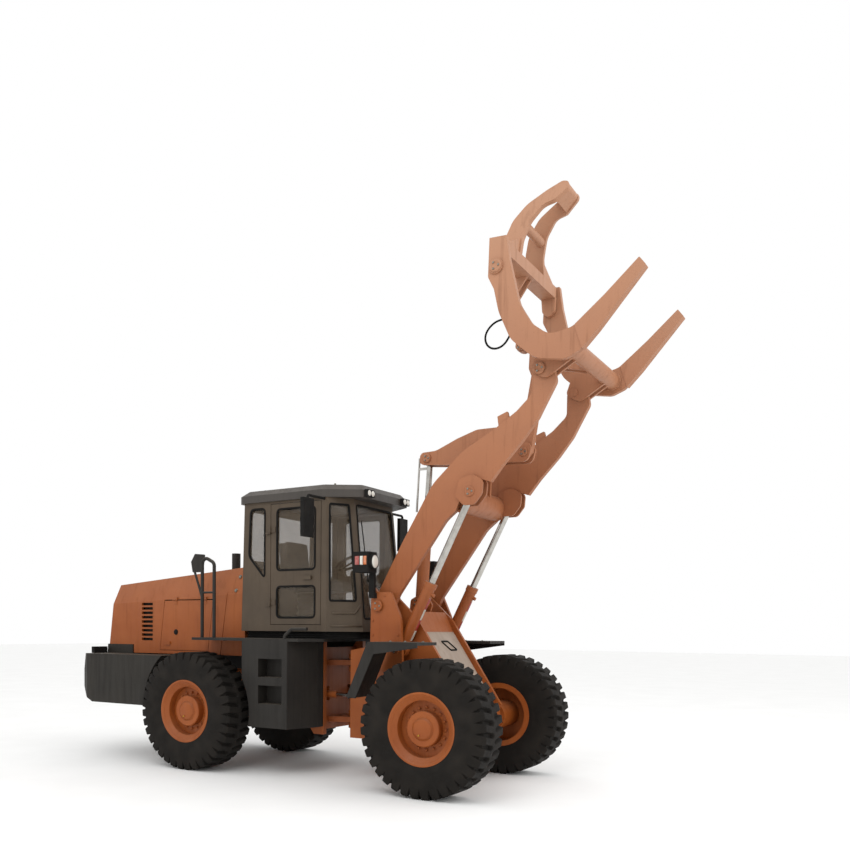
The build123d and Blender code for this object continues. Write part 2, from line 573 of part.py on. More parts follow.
# Deck with its cab mounts, and side tanks with steps
deck_corners = [(-1560, -950), (-60, -950), (100, -700), (100, 700), (-60, 950), (-1560, 950), (-1560, 610),
                (HOOD_FRONT + 20, 610), (HOOD_FRONT + 20, -610), (-1560, -610)]
deck = plan_plate(deck_corners, DECK_Z)
MOUNT_Y = CAB_HALF - 140
for x in (-900, 0):
    for sign in (1, -1):
        deck += rod((x, sign * MOUNT_Y, DECK_Z[1]), (x, sign * MOUNT_Y, CAB_Z[0]), 60)
parts["deck"] = deck
tank_plan = [(-820, RAIL_BAND[1]), (-820, 950), (-200, 950), (-75, 560), (-75, RAIL_BAND[1])]
tank = plan_plate(tank_plan, (530, DECK_Z[0])) - pin((-WHEELBASE / 2, TYRE_R), ARCH_R, (300, 1200))
for z in (790, 1080):
    tank -= block((-590, -270), (790, 1000), (z, z + 200))
parts["side_tanks"] = both(tank)

# Handrails, exterior mirrors and their stalks
RAIL_Y = 850
RAIL_X = (-1490, -1310)
RAIL_TOP = 2440
rails = tube_path([(RAIL_X[0], RAIL_Y, DECK_Z[1]), (RAIL_X[0], RAIL_Y, RAIL_TOP),
                   (RAIL_X[1], RAIL_Y, RAIL_TOP - 90), (RAIL_X[1], RAIL_Y, DECK_Z[1])], 20, 60)
rails += rod((RAIL_X[0], RAIL_Y, 2015), (RAIL_X[1], RAIL_Y, 2015), 12)
rails += tube_path([(-1495, RAIL_Y, 1960), (-1530, RAIL_Y, 2060), (-1620, RAIL_Y, 2290)], 14, 60)
guard = [(-1660, 2373), (-1601, 2464, 15), (-1450, 2450, 15), (-1480, 2250), (-1635, 2250, 15)]
rails += side_plate(guard, (RAIL_Y - 6, RAIL_Y + 6))
rails += tube_path([(-250, 925, DECK_Z[1]), (-250, 925, 1530), (-160, 925, 1605), (40, 925, 1605)], 18, 40)
parts["handrails"] = both(rails)
mirror_stalk = tube_path([(96, CAB_HALF, 2994), (96, 1010, 2994), (96, 1010, 2950)], 14, 30)
parts["mirrors"] = both(mirror_stalk + block((76, 116), (920, 1110), (2560, 2960)))

# Boom: two arms, foot bosses, lift clevises, cross tube and rocker cheeks
TUBE = (1530, 2920)
TUBE_R = 130
arm_corners = [
    (BOOM_PIN[0] - 90, BOOM_PIN[1] - 110, 80), (BOOM_PIN[0] - 60, BOOM_PIN[1] + 120, 90), (950, 2500, 400),
    (1290, 3070, 500), (1610, 3360, 300), (1960, 3550, 200), (2170, 3685, 150), (2315, 3820, 90),
    (TIP_PIN[0] - 85, TIP_PIN[1] - 20, 60), (TIP_PIN[0] - 60, TIP_PIN[1] + 130, 90),
    (TIP_PIN[0] + 110, TIP_PIN[1] + 110, 90), (TIP_PIN[0] + 150, TIP_PIN[1] - 130, 80), (2440, 3710, 120),
    (2381, 3598, 200), (2236, 3411, 300), (2030, 3190, 200), (1880, 3000, 100),
    (LIFT_EYE[0] + 20, LIFT_EYE[1] - 30, 60), (1440, 2700, 300), (910, 1960, 300),
    (BOOM_PIN[0] + 90, BOOM_PIN[1] - 120, 80),
]
boom = both(side_plate(arm_corners, ARM_BAND))
boom += both(side_plate([(1985, 3540), (1968, 3660, 8), (2070, 3698, 8), (2095, 3600)], (485, 515)))
boom += both(pin(BOOM_PIN, 105, (TOWER_INNER[1] + SIDE_GAP, TOWER_OUTER[0] - SIDE_GAP)))
boom += pin(TUBE, TUBE_R, (-ARM_BAND[0], ARM_BAND[0]))
cheek_corners = [(1420, 2940), (ROCKER_PIN[0] - 90, ROCKER_PIN[1] + 30, 80),
                 (ROCKER_PIN[0] + 10, ROCKER_PIN[1] + 110, 80), (ROCKER_PIN[0] + 110, ROCKER_PIN[1], 80), (1640, 2940)]
boom += both(side_plate(cheek_corners, ROCKER_CHEEK))
boom += pin(ROCKER_PIN, 45, (-ROCKER_CHEEK[1] - 15, ROCKER_CHEEK[1] + 15))
LIFT_CHEEKS = ((434, ARM_BAND[0]), (ARM_BAND[1], 566))
LIFT_POCKET = (458, 542)
clevis = [(1555, 2930, 40), (1600, 3090, 60), (1740, 3125, 60), (1850, 3060, 60), (1840, 2930, 60),
          (1760, 2830, 60), (1640, 2830, 60)]
for band in LIFT_CHEEKS:
    boom += both(side_plate(clevis, band))
pocket = [(1540, 2770), (1640, 3000), (1680, 3070), (1800, 3080), (1920, 3040), (1920, 2900), (1600, 2700)]
boom -= both(side_plate(pocket, LIFT_POCKET))
boom -= both(pin(TIP_PIN, 40 + RUN_FIT, (ARM_BAND[0] - 1, ARM_BAND[1] + 1)))
boom -= both(pin(BOOM_PIN, 45 + RUN_FIT, (400, 600)))
parts["boom"] = boom

# Rocker: two plates with a hub, carried between the boom's cheeks
rocker_corners = [
    (905, 3370, 50), (905, 3495, 50), (1095, 3500, 200), (1340, 3600, 200), (1560, 3668, 200), (1800, 3665, 150),
    (2150, 3450, 70), (2110, 3290, 70), (1960, 3300, 80), (1650, 3310, 150), (1200, 3340, 200),
]
rocker = both(side_plate(rocker_corners, ROCKER_BAND)) + pin(ROCKER_PIN, 85, (-ROCKER_BAND[1], ROCKER_BAND[1]))
rocker -= pin(ROCKER_PIN, 45 + RUN_FIT, (-200, 200))
rocker += pin(ROCKER_FRONT, 36, (-ROCKER_BAND[1], ROCKER_BAND[1]))
rocker += both(pin(ROCKER_REAR, 48, (ROCKER_BAND[0], ROCKER_BAND[1] + 10)))
parts["rocker"] = rocker

# Tilt link between the rocker and the fork
link_bar = [(LINK_TOP[0] - 62, LINK_TOP[1], 40), (LINK_TOP[0], LINK_TOP[1] + 68, 50),
            (LINK_TOP[0] + 62, LINK_TOP[1], 40),
            (ROCKER_FRONT[0] + 68, ROCKER_FRONT[1], 40), (ROCKER_FRONT[0], ROCKER_FRONT[1] - 74, 50),
            (ROCKER_FRONT[0] - 68, ROCKER_FRONT[1], 40)]
link = side_plate(link_bar, (-CENTRE_EYE, CENTRE_EYE))
link -= pin(ROCKER_FRONT, 36 + RUN_FIT, (-60, 60))
link -= pin(LINK_TOP, 36 + 1, (-60, 60))
parts["tilt_link"] = link

# Lift, tilt and clamp cylinders
LIFT_BARREL, LIFT_STROKE = 760, 675
lift_y = (455, 545)
lift_body, _ = barrel(LIFT_FOOT, LIFT_EYE, LIFT_BARREL, 60, 72, lift_y)
lift_body = bored(lift_body, LIFT_FOOT, LIFT_EYE, LIFT_BARREL, LIFT_STROKE, 34, lift_y)
lift_body -= pin(LIFT_FOOT, 34 + RUN_FIT, (440, 560))
parts["lift_barrels"] = both(lift_body)
lift_eye_y = (LIFT_POCKET[0] + SIDE_GAP, LIFT_POCKET[1] - SIDE_GAP)
parts["lift_rods"] = both(ram(LIFT_FOOT, LIFT_EYE, LIFT_BARREL, 40, 34, 58, lift_eye_y))
TILT_BARREL, TILT_STROKE = 1000, 800
tilt_y = (-TILT_LUGS[0] + SIDE_GAP, TILT_LUGS[0] - SIDE_GAP)
tilt_body, _ = barrel(TILT_FOOT, ROCKER_REAR, TILT_BARREL, 66, 70, tilt_y)
tilt_body = bored(tilt_body, TILT_FOOT, ROCKER_REAR, TILT_BARREL, TILT_STROKE, 32, tilt_y)
parts["tilt_barrel"] = tilt_body - pin(TILT_FOOT, 32 + RUN_FIT, (-90, 90))
tilt_rod = ram(TILT_FOOT, ROCKER_REAR, TILT_BARREL, 200, 32, 55, (-CENTRE_EYE, CENTRE_EYE))
gauge_top, gauge_foot = (862, 3455), (833, 2880)
tilt_rod += rod((gauge_foot[0], 0, gauge_foot[1]), (gauge_top[0], 0, gauge_top[1]), 11)
tilt_rod += block((850, 990), (-12, 12), (3325, 3350))
parts["tilt_rod"] = tilt_rod
CLAMP_BARREL, CLAMP_STROKE = 330, 255
clamp_y = (-38, 38)
clamp_body, _ = barrel(CLAMP_FOOT, CLAMP_EYE, CLAMP_BARREL, 48, 46, clamp_y)
clamp_body = bored(clamp_body, CLAMP_FOOT, CLAMP_EYE, CLAMP_BARREL, CLAMP_STROKE, 24, clamp_y)
parts["clamp_barrel"] = clamp_body - pin(CLAMP_FOOT, 25 + RUN_FIT, (-60, 60))
parts["clamp_rod"] = ram(CLAMP_FOOT, CLAMP_EYE, CLAMP_BARREL, 260, 24, 36, (-32, 32))

# Fork: J-shaped tines, and the carriage that joins them
tine_corners = [
    (3340, 4780, 8), (3050, 4520, 200), (2770, 4300, 180), (2560, 4265, 180), (2390, 4400, 220), (2270, 4600, 300),
    (2210, 4850, 60), (2170, 5020, 60), (2135, 5250), (1970, 5260), (1960, 4900, 60), (2020, 4780, 60),
    (2070, 4560, 400), (2190, 4290, 260), (2420, 4080, 300), (2700, 4030, 120), (2830, 4080, 60), (3000, 4240, 300),
    (3395, 4705, 8),
]
tine_bar = [(3340, 4780, 8), (3050, 4520, 200), (2790, 4310), (2860, 4095), (3000, 4240, 300), (3395, 4705, 8)]
tine = side_plate(tine_corners, FORK_BAND) + side_plate(tine_bar, TINE_BAND)
tine += pin(CLAMP_PIN, 70, (FORK_BAND[1], FORK_BAND[1] + 18))
tine -= pin(CLAMP_PIN, 45 + RUN_FIT, (600, 800))
parts["fork_tines"] = both(tine)
MAIN_TUBE, MAIN_R = (2710, 4170), 80
REAR_TUBE, REAR_R = (2190, 4475), 62
tube_y = (-FORK_BAND[0], FORK_BAND[0])
carriage = pin(MAIN_TUBE, MAIN_R, tube_y) + pin(REAR_TUBE, REAR_R, tube_y)
cheek = [(TIP_PIN[0] - 90, TIP_PIN[1] - 20, 60), (TIP_PIN[0] - 30, TIP_PIN[1] + 150, 60), (2725, 4255, 60),
         (2775, 4130, 60), (TIP_PIN[0] + 60, TIP_PIN[1] - 100, 60)]
for band in TIP_CHEEKS:
    carriage += both(side_plate(cheek, band))
carriage += both(pin(TIP_PIN, 40, (TIP_CHEEKS[0][0] - 12, TIP_CHEEKS[1][1] + 12)))
link_lug = [(2120, 4490, 40), (LINK_TOP[0] - 82, LINK_TOP[1] + 20, 60), (LINK_TOP[0] - 40, LINK_TOP[1] - 85, 50),
            (LINK_TOP[0] + 45, LINK_TOP[1] - 85, 50), (LINK_TOP[0] + 95, LINK_TOP[1] + 20, 60), (2680, 4100, 30),
            (2730, 4230, 30), (2250, 4530, 40)]
carriage += both(side_plate(link_lug, ROCKER_BAND))
carriage += both(pin(LINK_TOP, 40, (ROCKER_BAND[1], ROCKER_BAND[1] + 14)))
carriage += both(side_plate([(1960, 4400, 40), (1970, 4500, 40), (2190, 4535), (2190, 4420)], (50, 76)))
carriage += pin(CLAMP_FOOT, 25, (-84, 84))
HOSE_Y = -640
HOSE_BLOCK = ((2100, 2200), (HOSE_Y - 20, HOSE_Y + 20), (REAR_TUBE[1] + 20, REAR_TUBE[1] + 85))
hose_route = [(2145, 4386), (2109, 4314.8), (2035, 4265), (1950, 4272), (1892, 4332), (1886, 4415), (1933, 4484),
              (2015, 4530), (2100, 4530)]
carriage += rod((REAR_TUBE[0], HOSE_Y, REAR_TUBE[1]), (hose_route[0][0], HOSE_Y, hose_route[0][1]), 15)
carriage += block(*HOSE_BLOCK)
parts["fork_carriage"] = carriage

# Clamp hose: a free loop behind the right tine, from a union on the rear tube to its block
HOSE_R = 9.5
bends = []
for before, here, after in zip(hose_route, hose_route[1:], hose_route[2:]):
    inward, outward = [math.atan2(b[1] - a[1], b[0] - a[0]) for a, b in ((before, here), (here, after))]
    turn = abs((outward - inward + math.pi) % (2 * math.pi) - math.pi)
    bends.append(0.45 * min(math.dist(before, here), math.dist(here, after)) / math.tan(turn / 2))
print("fork_hose bend radii in mm:", [round(bend) for bend in bends])
hose_path = FilletPolyline(*[(x, HOSE_Y, z) for x, z in hose_route], radius=bends)
parts["fork_hose"] = sweep(Plane(origin=hose_path @ 0, z_dir=hose_path % 0) * Circle(HOSE_R), path=hose_path)
print("fork_hose length in mm:", round(hose_path.length))

# Clamp: two curved arms on a cross beam with pivot lugs and a nose plate
BEAM_X, BEAM_Z = (1960, 2110), (5120, 5240)
clamp = block(BEAM_X, (-680, 680), BEAM_Z)
clamp += both(side_plate([(1975, 4960, 50), (1960, 5130), (2110, 5130), (2105, 4960, 50)], (640, 690)))
clamp += both(pin(CLAMP_PIN, 45, (640, FORK_BAND[1] + 10)))
JAW_FOOT_Y = 350
JAW_LEAN = 17
JAW_T = 50
jaw_corners = [
    (1960, 5160), (1932, 5450, 150), (1985, 5615, 200), (2110, 5760, 250), (2300, 5863, 300), (2445, 5920, 50),
    (2562, 5880, 50), (2388, 5738, 40), (2275, 5718, 120), (2165, 5580, 200), (2112, 5400, 200), (2110, 5160),
]


def jaw_plate(corners, thickness):
    """A plate that leans inward as it rises, so that the two arms meet the narrow nose."""
    lean = math.radians(JAW_LEAN)
    normal = (0, -math.cos(lean), -math.sin(lean))
    plane = Plane(origin=(0, JAW_FOOT_Y, BEAM_Z[1]), x_dir=(1, 0, 0), z_dir=normal)
    risen = [(corner[0], (corner[1] - BEAM_Z[1]) / math.cos(lean), *corner[2:]) for corner in corners]
    return extrude(plane * outline_face(risen), amount=thickness)


clamp += both(jaw_plate(jaw_corners, JAW_T))
NOSE_HALF = 150
nose = [(2300, 5858), (2445, 5915, 45), (2555, 5878, 45), (2390, 5742)]
clamp += side_plate(nose, (-NOSE_HALF, NOSE_HALF))
clamp += pin((2105, 5540), 45, (-225, 225))
flare_plane = Plane(origin=(BEAM_X[0] + 15, 0, 0), x_dir=(0, 1, 0), z_dir=(1, 0, 0))
flare = outline_face([(670, BEAM_Z[1] - 10), (470, 5320, 80), (295, 5400), (295, BEAM_Z[1] - 10)])
clamp += both(extrude(flare_plane * flare, amount=BEAM_X[1] - BEAM_X[0] - 30, dir=(1, 0, 0)))
lever = [(CLAMP_EYE[0] - 45, CLAMP_EYE[1] - 20, 35), (CLAMP_EYE[0] + 20, CLAMP_EYE[1] - 50, 35), (2080, 5130),
         (1965, 5200), (CLAMP_EYE[0] - 20, CLAMP_EYE[1] + 50, 35)]
clamp += both(side_plate(lever, (40, 66)))
clamp += both(pin(CLAMP_EYE, 34, (66, 76)))
parts["clamp"] = clamp

for name, shape in parts.items():
    export_step(shape if isinstance(shape, (Part, Compound)) else Part(shape.wrapped), f"parts/{name}.step")
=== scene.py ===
import math

import bpy
import numpy as np
from mathutils import Matrix, Vector


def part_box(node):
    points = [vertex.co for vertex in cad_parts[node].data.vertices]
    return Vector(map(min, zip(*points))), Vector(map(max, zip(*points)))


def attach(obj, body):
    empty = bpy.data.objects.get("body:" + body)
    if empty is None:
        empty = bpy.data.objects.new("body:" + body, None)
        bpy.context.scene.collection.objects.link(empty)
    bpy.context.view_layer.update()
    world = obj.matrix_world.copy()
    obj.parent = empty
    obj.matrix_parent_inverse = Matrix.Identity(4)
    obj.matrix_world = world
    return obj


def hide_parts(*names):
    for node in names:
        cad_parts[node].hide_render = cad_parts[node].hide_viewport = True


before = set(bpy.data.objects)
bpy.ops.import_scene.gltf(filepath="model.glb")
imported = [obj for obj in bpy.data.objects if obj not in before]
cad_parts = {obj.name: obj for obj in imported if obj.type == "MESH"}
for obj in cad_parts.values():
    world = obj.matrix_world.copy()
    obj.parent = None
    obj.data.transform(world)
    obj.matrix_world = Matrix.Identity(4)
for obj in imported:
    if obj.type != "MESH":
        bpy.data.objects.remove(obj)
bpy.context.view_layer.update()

# An articulated wheel loader with a log fork, dressed over its CAD frame. Metres, X forward, Y left, Z up.

# Wheels, as in the CAD frame
AXLE_X = (1.5, -1.5)
WHEEL_Y = 0.94
TYRE_R = 0.667
TREAD_DEPTH = 0.036
LUGS = 36
BEAD_R = 0.322
BEAD_Y = 0.186
GROOVE_FOOT_R = 0.565
SHOULDER_Y = 0.2185
HUB_FACE = 0.150
DISC_FACE = 0.060

# Pins of the working arm at rest, as (X, Z)
BOOM_PIN = (0.720, 1.850)
LIFT_FOOT = (0.940, 1.400)
LIFT_EYE = (1.710, 2.960)
LIFT_Y = 0.500
LIFT_R = 0.060
ROCKER_PIN = (1.550, 3.450)
ROCKER_REAR = (0.990, 3.430)
ROCKER_FRONT = (2.060, 3.390)
TILT_FOOT = (0.900, 1.900)
TIP_PIN = (2.400, 4.040)
LINK_TOP = (2.190, 4.180)
CLAMP_PIN = (2.040, 4.985)
CLAMP_FOOT = (2.010, 4.440)
CLAMP_EYE = (1.859, 4.900)
CROSS_TUBE = (1.530, 2.920)
MAIN_TUBE = (2.710, 4.170)
REAR_TUBE = (2.190, 4.475)

# Cab walls, hood and front deck plate
CAB_HALF = 0.700
CAB_Z = (1.580, 3.010)
DECK_TOP = 1.500
SHOULDER_X = 0.130
NOSE_LOW = (0.440, 0.450)
NOSE_HIGH = (0.287, 0.414)
HOOD_HALF = 0.600
HOOD_SHOULDER = 2.010
PLATE_TOP = (1.094, 1.600)
PLATE_FOOT = (1.566, 0.880)
TOWER_FACE = 0.615
FENDER_TOP = 1.485
ROOF_TOP = 3.150

# Camera from the photograph: place, heading, focal length and principal point in its 850 pixels
CAMERA_AT = (5.341, -8.464, 1.616)
CAMERA_YAW, CAMERA_PITCH, CAMERA_ROLL = 33.513, -1.761, 0.443
FOCAL_PX = 877.1
CENTRE_PX = (331.3, 655.2)
FRAME_PX = 850
SENSOR_MM = 36

SIDES = (("left", 1), ("right", -1))


def place_camera():
    """Aims the camera by its yaw, pitch and roll, with the photograph's off-centre principal point."""
    yaw, pitch, roll = (math.radians(a) for a in (CAMERA_YAW, CAMERA_PITCH, CAMERA_ROLL))
    ahead = Vector((-math.sin(yaw) * math.cos(pitch), math.cos(yaw) * math.cos(pitch), math.sin(pitch)))
    level = Vector((math.cos(yaw), math.sin(yaw), 0))
    upright = level.cross(ahead)
    right = level * math.cos(roll) + upright * math.sin(roll)
    up = upright * math.cos(roll) - level * math.sin(roll)
    data = bpy.data.cameras.new("camera")
    data.sensor_width = SENSOR_MM
    data.lens = FOCAL_PX / FRAME_PX * SENSOR_MM
    data.shift_x = (FRAME_PX / 2 - CENTRE_PX[0]) / FRAME_PX
    data.shift_y = (CENTRE_PX[1] - FRAME_PX / 2) / FRAME_PX
    data.clip_end = 200
    camera = bpy.data.objects.new("camera", data)
    axes = Matrix((right, up, -ahead)).transposed().to_4x4()
    camera.matrix_world = Matrix.Translation(CAMERA_AT) @ axes
    bpy.context.collection.objects.link(camera)
    bpy.context.scene.camera = camera


place_camera()


# Materials

def linear(hex_code):
    """An sRGB hex colour as linear RGBA."""
    srgb = [int(hex_code[i:i + 2], 16) / 255 for i in (1, 3, 5)]
    return (*[c / 12.92 if c <= 0.04045 else ((c + 0.055) / 1.055) ** 2.4 for c in srgb], 1)


def add(tree, kind, values=None, links=None, **props):
    """Adds a shader node with properties, socket values and links from other nodes' outputs."""
    node = tree.nodes.new(kind)
    for key, value in props.items():
        setattr(node, key, value)
    for key, value in (values or {}).items():
        node.inputs[key].default_value = value
    for key, socket in (links or {}).items():
        tree.links.new(socket, node.inputs[key])
    return node


def new_material(name, **sockets):
    """A Principled material with constants on its own sockets, and its object coordinates."""
    made = bpy.data.materials.new(name)
    made.use_nodes = True
    tree = made.node_tree
    shader = tree.nodes["Principled BSDF"]
    for key, value in sockets.items():
        shader.inputs[key.replace("_", " ")].default_value = value
    coords = add(tree, "ShaderNodeTexCoord").outputs["Object"]
    return made, tree, shader, coords


def noise(tree, coords, size_mm, detail=4, stretch=None):
    """Noise whose blotches are about size_mm across, or longer along an axis by stretch."""
    if stretch:
        coords = add(tree, "ShaderNodeMapping", {"Scale": stretch}, {"Vector": coords}).outputs["Vector"]
    values = {"Scale": 1000 / size_mm, "Detail": detail, "Roughness": 0.6}
    return add(tree, "ShaderNodeTexNoise", values, {"Vector": coords}).outputs["Fac"]


def remap(tree, socket, low, high, out_low, out_high):
    values = {"From Min": low, "From Max": high, "To Min": out_low, "To Max": out_high}
    return add(tree, "ShaderNodeMapRange", values, {"Value": socket}).outputs["Result"]


def maths(tree, operation, first, second=0.0):
    node = add(tree, "ShaderNodeMath", operation=operation)
    tree.links.new(first, node.inputs[0])
    if isinstance(second, float):
        node.inputs[1].default_value = second
    else:
        tree.links.new(second, node.inputs[1])
    return node.outputs[0]


def blend(tree, factor, first, second):
    """Mixes two colours, each a hex code or a socket."""
    mix = add(tree, "ShaderNodeMix", data_type="RGBA")
    tree.links.new(factor, mix.inputs["Factor"])
    for key, colour in (("A", first), ("B", second)):
        socket = [s for s in mix.inputs if s.name == key and s.type == "RGBA"][0]
        if isinstance(colour, str):
            socket.default_value = linear(colour)
        else:
            tree.links.new(colour, socket)
    return [s for s in mix.outputs if s.type == "RGBA"][0]


def bump(tree, shader, height, depth_mm, strength=0.6):
    values = {"Strength": strength, "Distance": depth_mm / 1000}
    node = add(tree, "ShaderNodeBump", values, {"Height": height})
    tree.links.new(node.outputs["Normal"], shader.inputs["Normal"])


def paint(name, base, faded, grime, rough, dust_and_top_light=0.0, sun_fade_and_haze=None, grain_mm=3, grain_depth=0.15, **sockets):
    """Sprayed enamel: clouds of fading, rain streaks of grime, dust with painted top light on upward faces and
    fine orange peel.
    Towards the top of the raised arm it turns paler, partly sun-faded paint and partly painted haze light."""
    made, tree, shader, coords = new_material(name, **sockets)
    clouds = noise(tree, coords, 420, 6)
    colour = blend(tree, remap(tree, clouds, 0.35, 0.7, 0, 1), base, faded)
    # Paler with height: sun-faded paint with painted haze light over it
    if sun_fade_and_haze:
        height = add(tree, "ShaderNodeSeparateXYZ", links={"Vector": coords}).outputs["Z"]
        colour = blend(tree, remap(tree, height, 1.6, 5.4, 0.0, 0.85), colour, sun_fade_and_haze)
    streaks = noise(tree, coords, 60, 5, stretch=(1, 1, 0.08))
    colour = blend(tree, remap(tree, streaks, 0.55, 0.85, 0, 0.45), colour, grime)
    specks = noise(tree, coords, 14, 3)
    colour = blend(tree, remap(tree, specks, 0.66, 0.78, 0, 0.5), colour, grime)
    # Upward faces paler: settled dust with painted top light
    if dust_and_top_light:
        normal = add(tree, "ShaderNodeNewGeometry").outputs["Normal"]
        upward = add(tree, "ShaderNodeSeparateXYZ", links={"Vector": normal}).outputs["Z"]
        patchy = remap(tree, clouds, 0.3, 0.65, 0.5, 1.0)
        dust_and_top_light_mask = maths(tree, "MULTIPLY", remap(tree, upward, 0.2, 1.0, 0, dust_and_top_light), patchy)
        colour = blend(tree, dust_and_top_light_mask, colour, "#7d7264")
    tree.links.new(colour, shader.inputs["Base Color"])
    tree.links.new(remap(tree, streaks, 0.3, 0.75, *rough), shader.inputs["Roughness"])
    bump(tree, shader, noise(tree, coords, grain_mm, 3), grain_depth)
    return made


def rubber(name, base, dusty, grain_mm, grain_depth):
    """Moulded rubber or plastic: near black, matt, greyed by dried mud in clouds and scuffs."""
    made, tree, shader, coords = new_material(name, Specular_IOR_Level=0.2)
    mud = remap(tree, noise(tree, coords, 160, 6), 0.42, 0.75, 0, 0.6)
    tree.links.new(blend(tree, mud, base, dusty), shader.inputs["Base Color"])
    tree.links.new(remap(tree, noise(tree, coords, 40), 0.3, 0.7, 0.72, 0.92), shader.inputs["Roughness"])
    bump(tree, shader, noise(tree, coords, grain_mm, 4), grain_depth)
    return made


def bare_metal(name, base, tarnish, rough):
    """Bright metal: fine drawn marks and a thin film of oil and dirt."""
    made, tree, shader, coords = new_material(name, Metallic=1.0)
    film = remap(tree, noise(tree, coords, 90, 5), 0.45, 0.8, 0, 0.6)
    tree.links.new(blend(tree, film, base, tarnish), shader.inputs["Base Color"])
    marks = noise(tree, coords, 4, 3)
    tree.links.new(remap(tree, marks, 0.3, 0.7, *rough), shader.inputs["Roughness"])
    bump(tree, shader, marks, 0.03)
    return made


def glass(name, tint, haze_colour, alpha):
    """Tinted cab glass: a see-through pane with sharp reflections and a haze of dust."""
    made, tree, shader, coords = new_material(name, IOR=1.5, Alpha=alpha)
    haze = remap(tree, noise(tree, coords, 300, 5), 0.4, 0.8, 0.0, 0.6)
    tree.links.new(blend(tree, haze, tint, haze_colour), shader.inputs["Base Color"])
    tree.links.new(remap(tree, noise(tree, coords, 120), 0.3, 0.8, 0.03, 0.14), shader.inputs["Roughness"])
    made.surface_render_method = "BLENDED"
    return made


def lens(name, colour):
    """A lamp's moulded lens: glossy coloured plastic with fine flutes."""
    made, tree, shader, coords = new_material(name, IOR=1.49, Roughness=0.12, Coat_Weight=0.5)
    scratches = remap(tree, noise(tree, coords, 25), 0.3, 0.8, 0, 0.3)
    tree.links.new(blend(tree, scratches, colour, "#cfcac0"), shader.inputs["Base Color"])
    flutes = add(tree, "ShaderNodeTexWave", {"Scale": 40.0}, {"Vector": coords}, bands_direction="Y")
    bump(tree, shader, flutes.outputs["Fac"], 0.6)
    return made


def woven(name, base, worn):
    """Seat cloth: a tight two-way weave about 3 mm apart, paler where it is sat on."""
    made, tree, shader, coords = new_material(name, Roughness=0.92, Specular_IOR_Level=0.2, Sheen_Weight=0.3)
    wear = remap(tree, noise(tree, coords, 120, 4), 0.4, 0.7, 0, 0.7)
    tree.links.new(blend(tree, wear, base, worn), shader.inputs["Base Color"])
    threads = [add(tree, "ShaderNodeTexWave", {"Scale": 110.0, "Distortion": 0.4}, {"Vector": coords},
                   bands_direction=axis).outputs["Fac"] for axis in ("Y", "DIAGONAL")]
    bump(tree, shader, maths(tree, "MULTIPLY", *threads), 0.5)
    return made


def striped_tape(name, along, band_mm, first, second):
    """Safety tape: bands of two colours, each band_mm long, along a direction."""
    made, tree, shader, coords = new_material(name, Roughness=0.35)
    direction = add(tree, "ShaderNodeVectorMath", links={0: coords}, operation="DOT_PRODUCT")
    direction.inputs[1].default_value = along
    turns = maths(tree, "MULTIPLY", direction.outputs["Value"], 500.0 / band_mm)
    band = maths(tree, "GREATER_THAN", maths(tree, "FRACT", turns), 0.5)
    colour = blend(tree, band, first, second)
    scuffs = remap(tree, noise(tree, coords, 30, 5), 0.5, 0.8, 0, 0.5)
    tree.links.new(blend(tree, scuffs, colour, "#6a5a4a"), shader.inputs["Base Color"])
    return made


# Construction orange: deep low down and paler towards the top of the arm, partly sun-faded paint and partly
# painted haze light, with grime streaks all over
ORANGE = paint("orange_enamel_on_steel", "#8e4717", "#9b521f", "#4f2710", (0.42, 0.65), 0.22, "#b98c6f",
               Specular_IOR_Level=0.35)
# Charcoal enamel on the deck, fenders and tanks, greyed on its upper faces by dust with painted top light
CHARCOAL = paint("charcoal_enamel_on_steel", "#211e1b", "#292622", "#131110", (0.5, 0.75), 0.4,
                 Specular_IOR_Level=0.3)
# Grey-brown cab enamel, satin
CAB_BROWN = paint("grey_brown_cab_enamel", "#483c2f", "#544738", "#2b241d", (0.4, 0.65), 0.25,
                  Specular_IOR_Level=0.35)
# Darker grey-brown of the roof panel
ROOF_BROWN = paint("dark_brown_roof_enamel", "#37322e", "#413b35", "#241f1b", (0.4, 0.6), 0.2)
# Rough cast counterweight under black paint
CAST = paint("black_painted_iron_casting", "#26231f", "#2f2b26", "#141210", (0.55, 0.8), 0.3, None, 9, 0.8,
             Specular_IOR_Level=0.3)
# Pale bare plate where boots have worn the front deck
PALE = paint("pale_worn_deck_plate", "#8f7d6e", "#a08f80", "#6a5848", (0.45, 0.7), 0.1)
# Grey enamel of the engine block
ENGINE_GREY = paint("grey_engine_enamel", "#3c3e3f", "#47494a", "#211e1b", (0.45, 0.7), 0.3)
# Tyre rubber, dusted brown-grey
TYRE = rubber("tyre_rubber", "#191613", "#2e2924", 5, 0.5)
# Hose and seal rubber, cleaner and finer
SEAL = rubber("seal_and_hose_rubber", "#100f0e", "#211e1b", 1.5, 0.1)
# Moulded black plastic of mirrors and lamp housings
PLASTIC = rubber("moulded_black_plastic", "#171615", "#262320", 1.0, 0.08)
# Chromed piston rods, zinc-plated bolts, brass plugs and the mirrors' silvered faces
CHROME = bare_metal("hard_chrome", "#b9b6b0", "#7d7870", (0.08, 0.22))
ZINC = bare_metal("zinc_plated_steel", "#8f8b82", "#544f46", (0.3, 0.5))
BRASS = bare_metal("brass_plug", "#b58a3c", "#6e5426", (0.25, 0.4))
SILVER = bare_metal("silvered_mirror_glass", "#c5c7c8", "#a0a2a2", (0.02, 0.05))
# Brownish pane glass, hazed by dust
PANE = glass("tinted_cab_glass", "#5f5242", "#8d8072", 0.34)
# Lamp lenses
CLEAR = lens("clear_lamp_lens", "#dedbd2")
AMBER = lens("amber_lamp_lens", "#c9651a")
RUBY = lens("red_lamp_lens", "#9a1d15")
# Seat cloth
CLOTH = woven("charcoal_seat_cloth", "#252323", "#363331")

